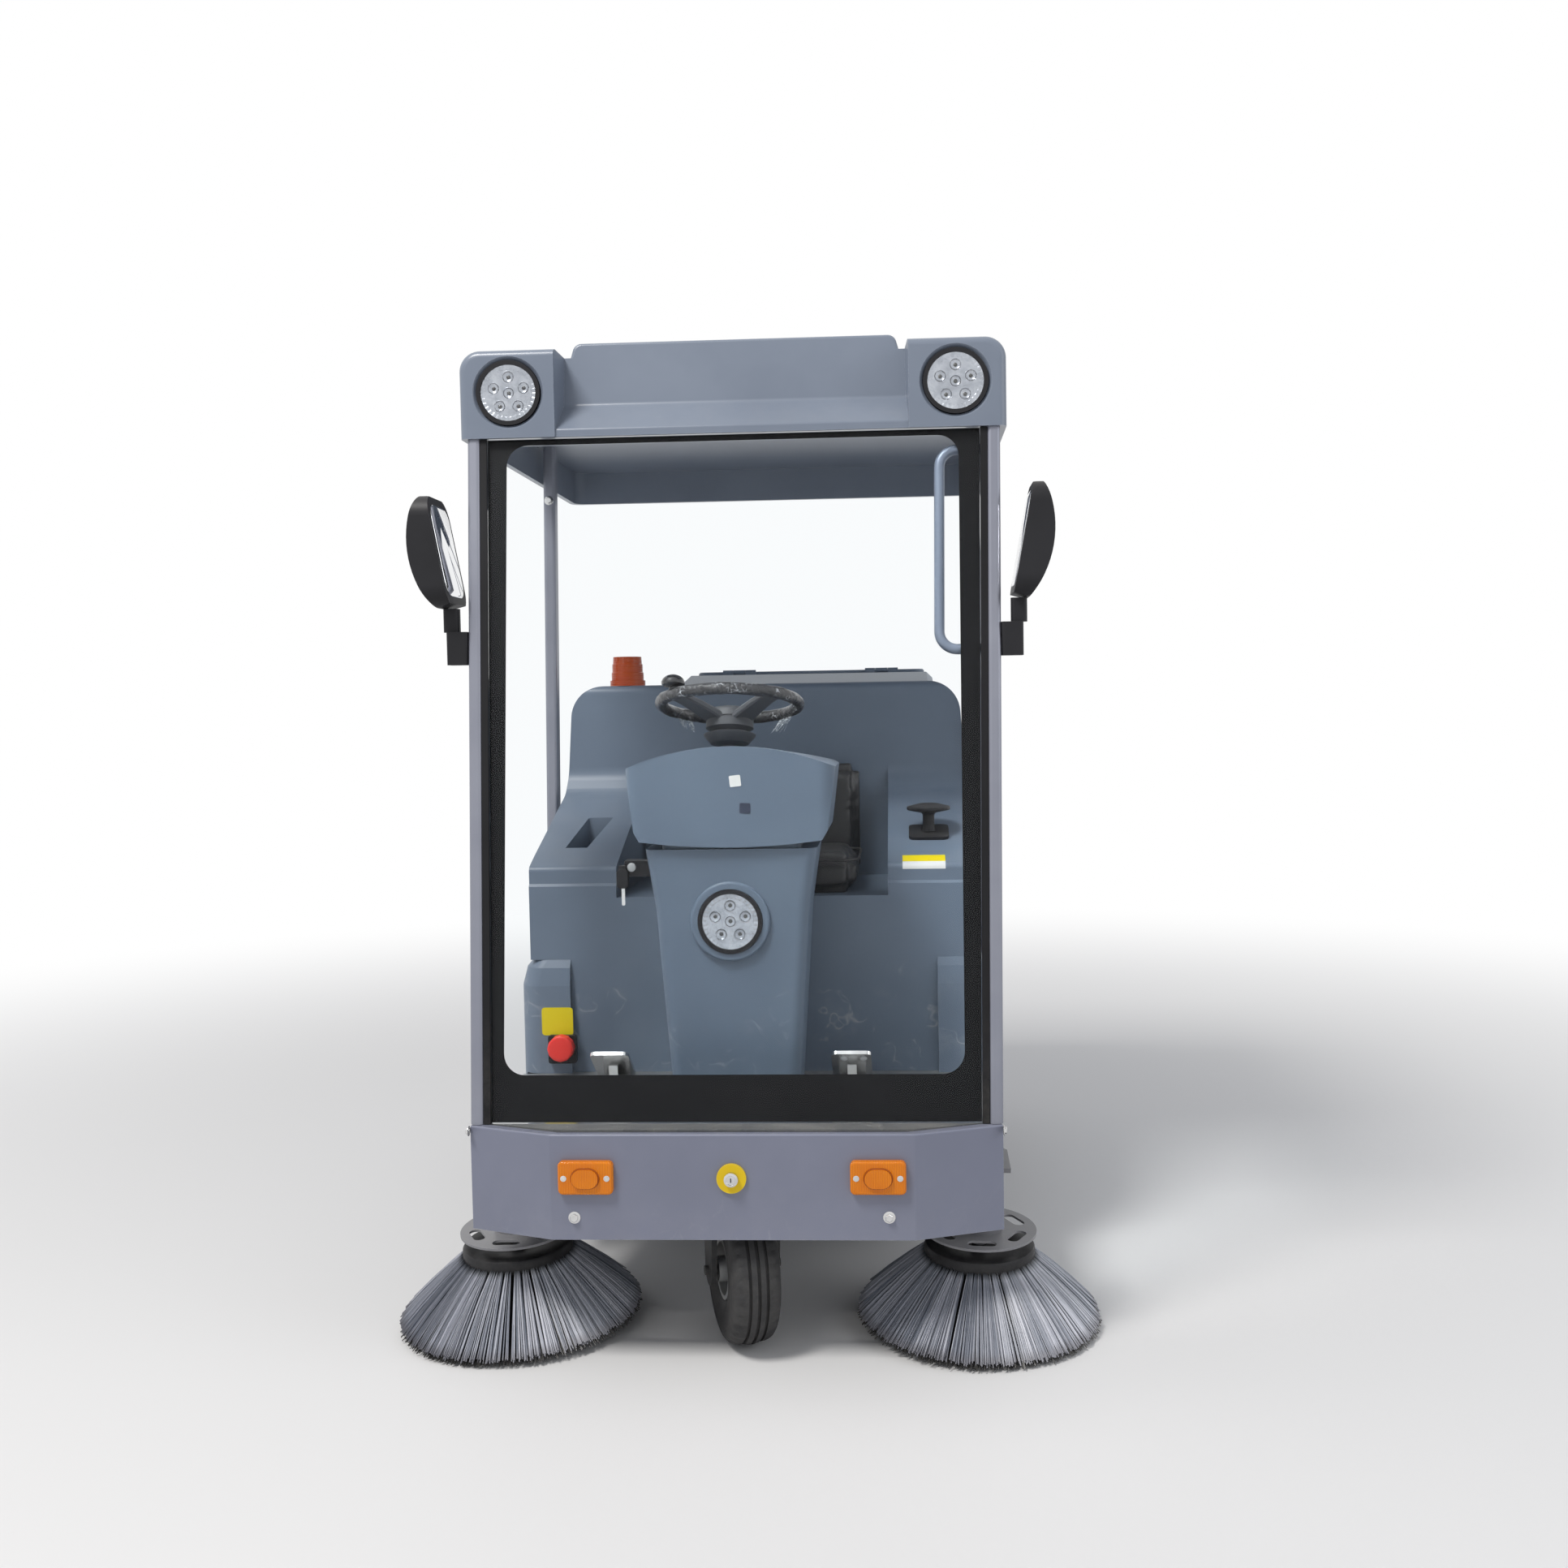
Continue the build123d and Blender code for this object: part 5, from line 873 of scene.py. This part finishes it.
def puffed(name, low, high, round_by, cap):
    """A cushion: the block remeshed, blown up by cloth pressure by cap at most, and subdivided once."""
    obj = linked(name, block_mesh(low, high, round_by))
    remesh = obj.modifiers.new("even", "REMESH")
    remesh.mode = "VOXEL"
    remesh.voxel_size = VOXEL
    apply_modifiers(obj)
    before = [vert.co.copy() for vert in obj.data.vertices]
    cloth = obj.modifiers.new("filling", "CLOTH")
    cloth.settings.use_pressure = True
    cloth.settings.uniform_pressure_force = PRESSURE
    cloth.settings.effector_weights.gravity = 0.0
    for shot in range(1, CLOTH_SHOTS + 1):
        bpy.context.scene.frame_set(shot)
    apply_modifiers(obj)
    for vert, rest in zip(obj.data.vertices, before):
        move = vert.co - rest
        if move.length > cap:
            vert.co = rest + move.normalized() * cap
    bpy.context.scene.frame_set(1)
    obj.data.shade_smooth()
    finer = obj.modifiers.new("finer", "SUBSURF")
    finer.levels = finer.render_levels = 1
    obj.data.materials.append(seat_vinyl)
    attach(obj, "root")
    return obj


cushion = puffed("seat_cushion_pad", (-0.252, -0.473, 0.9062), (0.252, -0.180, 0.9940), 0.024, 0.009)
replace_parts(cushion, "seat_cushion")
backrest = puffed("seat_back_pad", (-0.252, -0.1620, 0.9090), (0.252, -0.0890, 1.2030), 0.022, 0.008)
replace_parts(backrest, "seat_back")
print("seat pads:", len(cushion.data.vertices), len(backrest.data.vertices), "points")

# %% Seat piping
PIPING_RADIUS = 0.0032


def piping(name, low, high, round_by, height):
    """A thin tube round a pad at one height."""
    curve = bpy.data.curves.new(name, "CURVE")
    curve.dimensions = "3D"
    spline = curve.splines.new("POLY")
    outline = []
    for sign_x, sign_y, turn in corner_turns(6):
        middle_x = high[0] - round_by if sign_x > 0 else low[0] + round_by
        middle_y = high[1] - round_by if sign_y > 0 else low[1] + round_by
        outline.append((middle_x + round_by * math.cos(turn), middle_y + round_by * math.sin(turn)))
    spline.points.add(len(outline) - 1)
    for point, (x, y) in zip(spline.points, outline):
        point.co = (x, y, height, 1)
    spline.use_cyclic_u = True
    curve.bevel_depth = PIPING_RADIUS
    curve.bevel_resolution = 3
    obj = linked(name, curve)
    curve.materials.append(seat_vinyl)
    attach(obj, "root")


piping("cushion_piping", (-0.2490, -0.4700), (0.2490, -0.1785), 0.040, 0.984)
print("piping laid")

# %% [markdown]
# Each work lamp has a black can from the construction. Inside it sits a bright pressed reflector with six
# bowls, one in the middle and five round it, and fine flutes near its edge; a dark diode stands in each
# bowl and a clear lens closes the can. The reflector is one sheet whose height is a function of place.

# %% Lamps
RING_COUNT, RING_STEPS, LAMP_RADIUS = 36, 144, 0.0594
BOWL_RADIUS, BOWL_LIP, BOWL_FLOOR, SHEET_LEVEL, LIP_LEVEL = 0.0112, 0.0128, -0.0122, -0.0076, -0.0070
FLUTES_FROM, FLUTE_DEPTH, BOWL_CIRCLE = 0.050, 0.0012, 0.034
chrome = finish("lamp_chrome", (0.40, 0.42, 0.46), (0.54, 0.56, 0.60), 0.12, 1.0, bump=0.03, cloud=40.0)
diode = finish("diode", (0.04, 0.04, 0.045), (0.10, 0.10, 0.09), 0.25)
bowls = [Vector()] + [polar(BOWL_CIRCLE, math.radians(90 + 72 * i)) for i in range(5)]


def reflector_height(radius, turn):
    """Height of the pressed sheet at a place: bowls with a raised lip, flutes near the edge."""
    near = min((polar(radius, turn) - bowl).length for bowl in bowls)
    height = SHEET_LEVEL
    if near < BOWL_RADIUS:
        height = BOWL_FLOOR + 0.0036 * (near / BOWL_RADIUS) ** 2
    elif near < BOWL_LIP:
        height = LIP_LEVEL
    if radius > FLUTES_FROM:
        rise = (radius - FLUTES_FROM) / (LAMP_RADIUS - FLUTES_FROM)
        height += FLUTE_DEPTH * abs(math.sin(18 * turn)) + FLUTE_DEPTH * rise
    return height


def reflector_sheet():
    """The pressed reflector, facing +Z."""
    points = [(0, 0, BOWL_FLOOR)]
    for radius in (LAMP_RADIUS * ring / RING_COUNT for ring in range(1, RING_COUNT + 1)):
        for turn in (2 * math.pi * step / RING_STEPS for step in range(RING_STEPS)):
            points.append(polar(radius, turn, reflector_height(radius, turn)))
    fan = [(0, 1 + step, 1 + (step + 1) % RING_STEPS) for step in range(RING_STEPS)]
    return points, fan + grid_faces(RING_COUNT, RING_STEPS, wrap_columns=True, base=1)


reflector = reflector_sheet()
diode_dome = turned([(0.0046, -0.0004), (0.0044, 0.0008), (0.0026, 0.0018), (0.0, 0.0022)], 16)
diodes = merged([(diode_dome, Matrix.Translation((bowl.x, bowl.y, BOWL_FLOOR))) for bowl in bowls])
lens = turned([(0.0, -0.0045), (0.0592, -0.0045), (0.0592, -0.0028), (0.048, -0.0022), (0.0, -0.0018)], 64)
for lamp_name, spot in (("roof_right", (-0.478, -0.750, 2.028)), ("roof_left", (0.478, -0.750, 2.028)),
                        ("console", (-0.017, -0.802, 0.8905))):
    matrix = frame_at(spot, FRONT)
    piece("reflector_" + lamp_name, reflector, chrome, "lamp_black", matrix=matrix, angle=25.0)
    piece("diodes_" + lamp_name, diodes, diode, "lamp_black", matrix=matrix)
    piece("lens_" + lamp_name, lens, lamp_glass, "lamp_black", matrix=matrix)
print("three lamps dressed")

# %% [markdown]
# Fasteners are small, but an eye that knows machines looks for them first: hexagon bolts with washers on
# the bumper and the rear posts, and the wheel nuts. One head is written and placed many times.

# %% Bolts
def bolt(radius, head):
    """A hexagon head on a washer, along +Z."""
    rings = ((radius, 0.0), (radius, head * 0.85), (0.86 * radius, head))
    points = [polar(r, math.radians(60 * i), height) for r, height in rings for i in range(6)]
    hexagon = points, [tuple(range(12, 18))] + grid_faces(3, 6, wrap_columns=True, flip=True)
    washer = turned([(radius * 1.45, 0.0), (radius * 1.45, head * 0.18), (radius * 1.3, head * 0.24),
                     (0.0, head * 0.24)], 28)
    return merged([(hexagon, unmoved), (washer, unmoved)])


def bolt_set(name, spots, radius, head, body="root"):
    """Several equal bolts as one piece; each spot has a place and the way its head looks."""
    parts = [(bolt(radius, head), frame_at(spot, look, (0, 0, 1))) for spot, look in spots]
    piece(name, merged(parts), bright_steel, "lock_metal", body, angle=30.0)


bolt_set("bumper_bolts", [((-0.321, -1.010, 0.322), FRONT), ((0.316, -1.010, 0.323), FRONT)], 0.0085, 0.008)
bolt_set("bumper_end_bolts", [((side * 0.5490, -0.955, 0.484), (side, 0, 0)) for side, _ in SIDES], 0.0072, 0.0065)
bolt_set("post_bolts", [((side * 0.5432, -0.110, 1.883), FRONT) for side, _ in SIDES], 0.008, 0.006)
for side, side_name in SIDES:
    nuts = [polar(0.043, math.radians(72 * i + 36)) for i in range(5)]
    spots = [((side * 0.4695, REAR_Y + nut.x, REAR_RADIUS + nut.y), (side, 0, 0)) for nut in nuts]
    bolt_set("wheel_nuts_" + side_name, spots, 0.0075, 0.008, "rear_wheel_" + side_name)
print("bolts placed")

# %% [markdown]
# The marker lamps get a darker ring round their oval boss and two screws each; the yellow ring on the
# bumper gets the face and barrel of a cylinder lock. A ring that isn't round is swept too: its centre
# line follows an oval, point by point.

# %% Marker rings, screws and the lock face
def oval_ring(half_wide, half_high, tube):
    """A thin ring that follows an oval with straight sides."""
    straight = Vector((half_wide - half_high, 0, 0))
    return swept_ring(64, 8, lambda a: polar(half_high, a) + (straight if math.cos(a) > 0 else -straight),
                      lambda a, b: tube)


rings = [(oval_ring(0.0275, 0.0195, 0.0022), frame_at((side * 0.295, -1.0242, 0.406), FRONT)) for side, _ in SIDES]
piece("marker_rings", merged(rings), amber_boss, "amber_lens")
bolt_set("marker_screws", [((side * 0.295 + step, -1.0238, 0.406), FRONT) for side, _ in SIDES
                           for step in (-0.044, 0.044)], 0.0042, 0.0022)
lock_matrix = frame_at((0, -1.0253, 0.403), FRONT)
lock_face = [(0.0, 0.0), (0.0133, 0.0), (0.0133, 0.0012), (0.0115, 0.0018), (0.0095, 0.0018), (0.0090, 0.0010),
             (0.0, 0.0010)]
lock_barrel = [(0.0143, -0.0092), (0.0143, -0.0004), (0.0138, 0.0), (0.0130, 0.0)]
piece("lock_face", turned(lock_face, 40), bright_steel, "lock_metal", matrix=lock_matrix)
piece("lock_barrel", turned(lock_barrel, 40), bright_steel, "lock_metal", matrix=lock_matrix)
piece("lock_slot", rounded_plate(0.0022, 0.0090, 0.0010, 0.0004), black_seal, "lock_metal",
      matrix=frame_at((0, -1.0264, 0.403), FRONT))
print("markers and lock")

# %% [markdown]
# The controls beside the driver: the red battery knob on its dark base, the key hanging in its switch
# with a dark grip and a steel blade, and two pale screws on the treadle. The knob is a cap made from one
# revolved profile whose rim points are pushed out at every fourth step, which makes its grip ridges.

# %% Battery knob, key and pedal screws
KNOB_STEPS, RIDGE_EVERY, RIDGE = 48, 4, 1.03
knob_cap = [(0.0, 0.0240), (0.022, 0.0239), (0.0272, 0.0236), (0.0296, 0.0212), (0.0300, 0.0004)]
knob_points, knob_faces = turned(knob_cap, KNOB_STEPS)
for step in range(0, KNOB_STEPS, RIDGE_EVERY):
    for index in (3, 4):
        knob_points[step * len(knob_cap) + index].xy *= RIDGE
piece("battery_knob", (knob_points, knob_faces), red_knob, "switch_plastic",
      matrix=frame_at((-0.449, -0.5290, 0.559), FRONT))
key_matrix = frame_at((-0.2555, -0.7435, 0.979), FRONT)
grip_parts = [
    (rounded_plate(0.026, 0.042, 0.008, 0.009, lip=0.002), unmoved),
    (rounded_plate(0.018, 0.016, 0.004, 0.007, lip=0.001), Matrix.Translation((0.0, 0.0215, 0.001))),
]
piece("key_grip", merged(grip_parts), black_trim, "switch_plastic", matrix=key_matrix)
piece("key_blade", rounded_plate(0.0075, 0.040, 0.002, 0.0020), bright_steel, "switch_plastic",
      matrix=key_matrix @ Matrix.Translation((0.001, -0.038, 0.0035)))
piece("key_switch_ring", turned([(0.0095, 0.0), (0.0095, 0.004), (0.0080, 0.005), (0.0, 0.005)], 32), rim_silver,
      "switch_plastic", matrix=frame_at((-0.236, -0.7420, 1.0035), FRONT))
pale_zinc = finish("pale_zinc", (0.60, 0.61, 0.62), (0.70, 0.71, 0.72), 0.35, 0.3)
screw_dome = turned([(0.0080, 0.0), (0.0078, 0.0016), (0.0062, 0.0028), (0.0034, 0.0034), (0.0030, 0.0022),
                     (0.0, 0.0022)], 24)
screws = [(screw_dome, frame_at((x, -0.7097, 0.5733), (0, -0.6, -0.8))) for x in (0.2179, 0.2607)]
piece("pedal_screws", merged(screws), pale_zinc, "pedal_metal")
print("controls ready")

# %% [markdown]
# Each mirror head holds a silvered plate with round corners, which faces the driver and tips down a
# little. It lies on the inner face of the black shell, so that only its clear edge shows from the front.

# %% Mirror glass
mirror_glass = finish("silvered_glass", (0.82, 0.83, 0.84), (0.86, 0.87, 0.88), 0.03, 1.0)
for side, side_name in SIDES:
    matrix = frame_at((side * 0.6098, -0.784, 1.6880), (-side * 0.984, 0, 0.179), (0, 1, 0))
    piece("mirror_glass_" + side_name, rounded_plate(0.126, 0.196, 0.030, 0.0012, lip=0.0006), mirror_glass,
          "black_plastic", matrix=matrix)
print("mirrors glazed")

# %% [markdown]
# Plates and stickers stay blank: their colours are part of the machine, their words are not. A flat one
# is a thin sheet with round corners. The label on the armrest bends over its front edge, so its points
# are dropped onto the moulding and lifted by half a millimetre.

# %% Blank plates and stickers
LABEL_COLUMNS, LABEL_LIFT, STICKER_THICK = 5, 0.0006, 0.0008
yellow_film = finish("yellow_film", (0.76, 0.60, 0.006), (0.82, 0.66, 0.01), 0.34, bump=0.15, grain=60.0,
    depth=0.0008, gloss=0.3)
white_film = finish("white_film", (0.72, 0.72, 0.70), (0.80, 0.80, 0.78), 0.35, bump=0.15, grain=60.0, depth=0.0008)
navy_film = finish("navy_film", (0.020, 0.028, 0.055), (0.030, 0.038, 0.070), 0.35, bump=0.1, grain=60.0)


def sticker(name, spot, wide, high, material, slot, turn=0.0):
    """A blank plate that faces the front, turned in its own plane."""
    matrix = frame_at(spot, FRONT) @ Matrix.Rotation(math.radians(turn), 4, "Z")
    piece(name, rounded_plate(wide, high, min(wide, high) * 0.12, STICKER_THICK), material, slot, matrix=matrix)


def wrapped_sheet(name, carrier, left, right, path, material, slot):
    """A blank label that follows a curved surface: points of a path are dropped onto the carrier."""
    body = nodes[carrier]
    to_local = body.matrix_world.inverted()
    points = []
    for y, z in path:
        for step in range(LABEL_COLUMNS):
            x = left + (right - left) * step / (LABEL_COLUMNS - 1)
            _, spot, normal, _ = body.closest_point_on_mesh(to_local @ Vector((x, y, z)))
            points.append(body.matrix_world @ (spot + normal * LABEL_LIFT))
    piece(name, (points, grid_faces(len(path), LABEL_COLUMNS, flip=True)), material, slot, angle=80.0)


label_top = [(-0.4561 - 0.0055 * i, 0.9950 - 0.0028 * i) for i in range(6)]
label_foot = [(-0.4840 - 0.0030 * i, 0.9812 - 0.0040 * i) for i in range(5)]
wrapped_sheet("armrest_label_top", "upper_body", 0.352, 0.4515, label_top, yellow_film, "body_plastic")
wrapped_sheet("armrest_label_foot", "upper_body", 0.352, 0.4515, label_foot, white_film, "body_plastic")
sticker("battery_plate", (-0.4615, -0.5155, 0.617), 0.074, 0.066, yellow_film, "body_plastic")
sticker("white_patch", (0.001, -0.8124, 1.192), 0.024, 0.024, white_film, "column_plastic", 6.0)
sticker("navy_patch", (0.021, -0.8124, 1.134), 0.023, 0.022, navy_film, "column_plastic", -3.0)
print("blank plates laid")

# %% [markdown]
# The pane has a black printed border inside its rubber: a band at both sides and a deep one at the foot,
# with round inner corners. A print has no thickness to speak of, so it is one flat sheet with a hole,
# laid along the inner face of the pane and leaning with it.

# %% Printed border of the windscreen
PANE_FOOT, PANE_RISE, PANE_HALF, PANE_WIDENS, PANE_Y, PANE_LEANS = 0.493, 1.439, 0.508, 0.021, -0.9291, 0.198
BORDER_LOW, BORDER_TOP, HOLE_LOW, HOLE_TOP = 0.4945, 1.9300, 0.590, 1.917
HOLE_CORNER, CORNER_STEPS, EDGE_GAP = 0.045, 8, 0.001
border_black = finish("printed_border", (0.004, 0.004, 0.005), (0.007, 0.007, 0.008), 0.55, gloss=0.1)


def pane_point(x_share, height, x=None):
    """A point on the pane's inner face: at x, or at a share of the half width between the seals."""
    share = (height - PANE_FOOT) / PANE_RISE
    half_width = PANE_HALF + PANE_WIDENS * share - EDGE_GAP
    return (x_share * half_width if x is None else x, PANE_Y + PANE_LEANS * share, height)


def border_mesh():
    """Inner and outer outlines joined by a strip of faces."""
    inner, outer = [], []
    for index, (sign_x, sign_z, turn) in enumerate(corner_turns(CORNER_STEPS)):
        z = (HOLE_TOP - HOLE_CORNER if sign_z > 0 else HOLE_LOW + HOLE_CORNER) + HOLE_CORNER * math.sin(turn)
        share = (z - HOLE_LOW) / (HOLE_TOP - HOLE_LOW)
        half_hole = 0.474 + 0.009 * share if sign_x > 0 else 0.483 + 0.004 * share
        x = sign_x * (half_hole - HOLE_CORNER) + HOLE_CORNER * math.cos(turn)
        inner.append(pane_point(0, z, x))
        corner, step = divmod(index, CORNER_STEPS + 1)
        edge_z = BORDER_TOP if sign_z > 0 else BORDER_LOW
        if step == CORNER_STEPS // 2:
            outer.append(pane_point(sign_x, edge_z))
        elif (step > CORNER_STEPS // 2) == (corner in (0, 2)):
            outer.append(pane_point(0, edge_z, x))
        else:
            outer.append(pane_point(sign_x, z))
    return inner + outer, grid_faces(2, len(inner), wrap_columns=True, flip=True)


border = piece("windscreen_border", border_mesh(), border_black, "windscreen_glass", smooth=False)
print("border:", len(border.data.polygons), "faces")

# %% [markdown]
# Studio light: one large soft lamp high on the left front, as the sun stands in the photograph, a weaker
# one on the right, and an even pale surround. Camera, mirror and glass rays see plain white; the floor
# keeps the shadow and fades into that white with distance. The lamps are hidden from rays through glass,
# and white from rays that bounced off a matt surface, or both would speckle what lies behind the pane.

# %% Floor, surround and lamps
FLOOR_REACH, FADE_FROM, FADE_TO = 14, 1.6, 6.0
WHITE = (1, 1, 1, 1)
bpy.context.scene.view_settings.view_transform = "Standard"
floor_mesh = bpy.data.meshes.new("studio_floor")
floor_mesh.from_pydata([(x * FLOOR_REACH, y * FLOOR_REACH, 0) for x, y in ((-1, -1), (1, -1), (1, 1), (-1, 1))],
                       [], [(0, 1, 2, 3)])
floor = linked("studio_floor", floor_mesh)
material, graph, shader = new_material("pale_floor")
tone = graph.noise(0.6, Detail=2.0)
graph.fill(shader, {"Base Color": graph.blend(tone, (0.76, 0.755, 0.75, 1), (0.80, 0.795, 0.79, 1)), "Roughness": 0.7})
distance = graph.node("VectorMath", {0: graph.place()}, operation="LENGTH")["Value"]
fade = graph.times(graph.ramp(distance, FADE_FROM, FADE_TO), graph.seen()[0])
white = graph.node("Emission", {"Color": WHITE, "Strength": 1.0})[0]
surface = graph.node("MixShader", {0: fade, 1: shader.outputs[0], 2: white})[0]
graph.fill(material.node_tree.nodes["Material Output"], {"Surface": surface})
floor_mesh.materials.append(material)

world = bpy.data.worlds.new("studio")
bpy.context.scene.world = world
world.use_nodes = True
world.node_tree.nodes.clear()
graph = Graph(world.node_tree)
seen, rays = graph.seen()
seen = graph.times(seen, graph.math("LESS_THAN", rays["Diffuse Depth"], 0.5))
lit = graph.node("Background", {"Color": (0.93, 0.95, 1.0, 1), "Strength": 0.50})[0]
shown = graph.node("Background", {"Color": WHITE, "Strength": 1.0})[0]
graph.node("OutputWorld", {"Surface": graph.node("MixShader", {0: seen, 1: lit, 2: shown})[0]})


def soft_lamp(name, spot, aim, size, power, colour):
    """A square area lamp that looks at a point."""
    data = bpy.data.lights.new(name, "AREA")
    data.shape = "SQUARE"
    data.size = size
    data.energy = power
    data.color = colour
    lamp = linked(name, data)
    lamp.matrix_world = frame_at(spot, Vector(spot) - Vector(aim))
    lamp.visible_transmission = False


soft_lamp("key_light", (-2.4, -3.4, 6.2), (0, -0.2, 0.9), 1.6, 300, (1.0, 0.98, 0.95))
soft_lamp("side_light", (4.4, -2.2, 3.0), (0, 0, 1.0), 3.0, 45, (0.95, 0.97, 1.0))
print("light and floor ready")
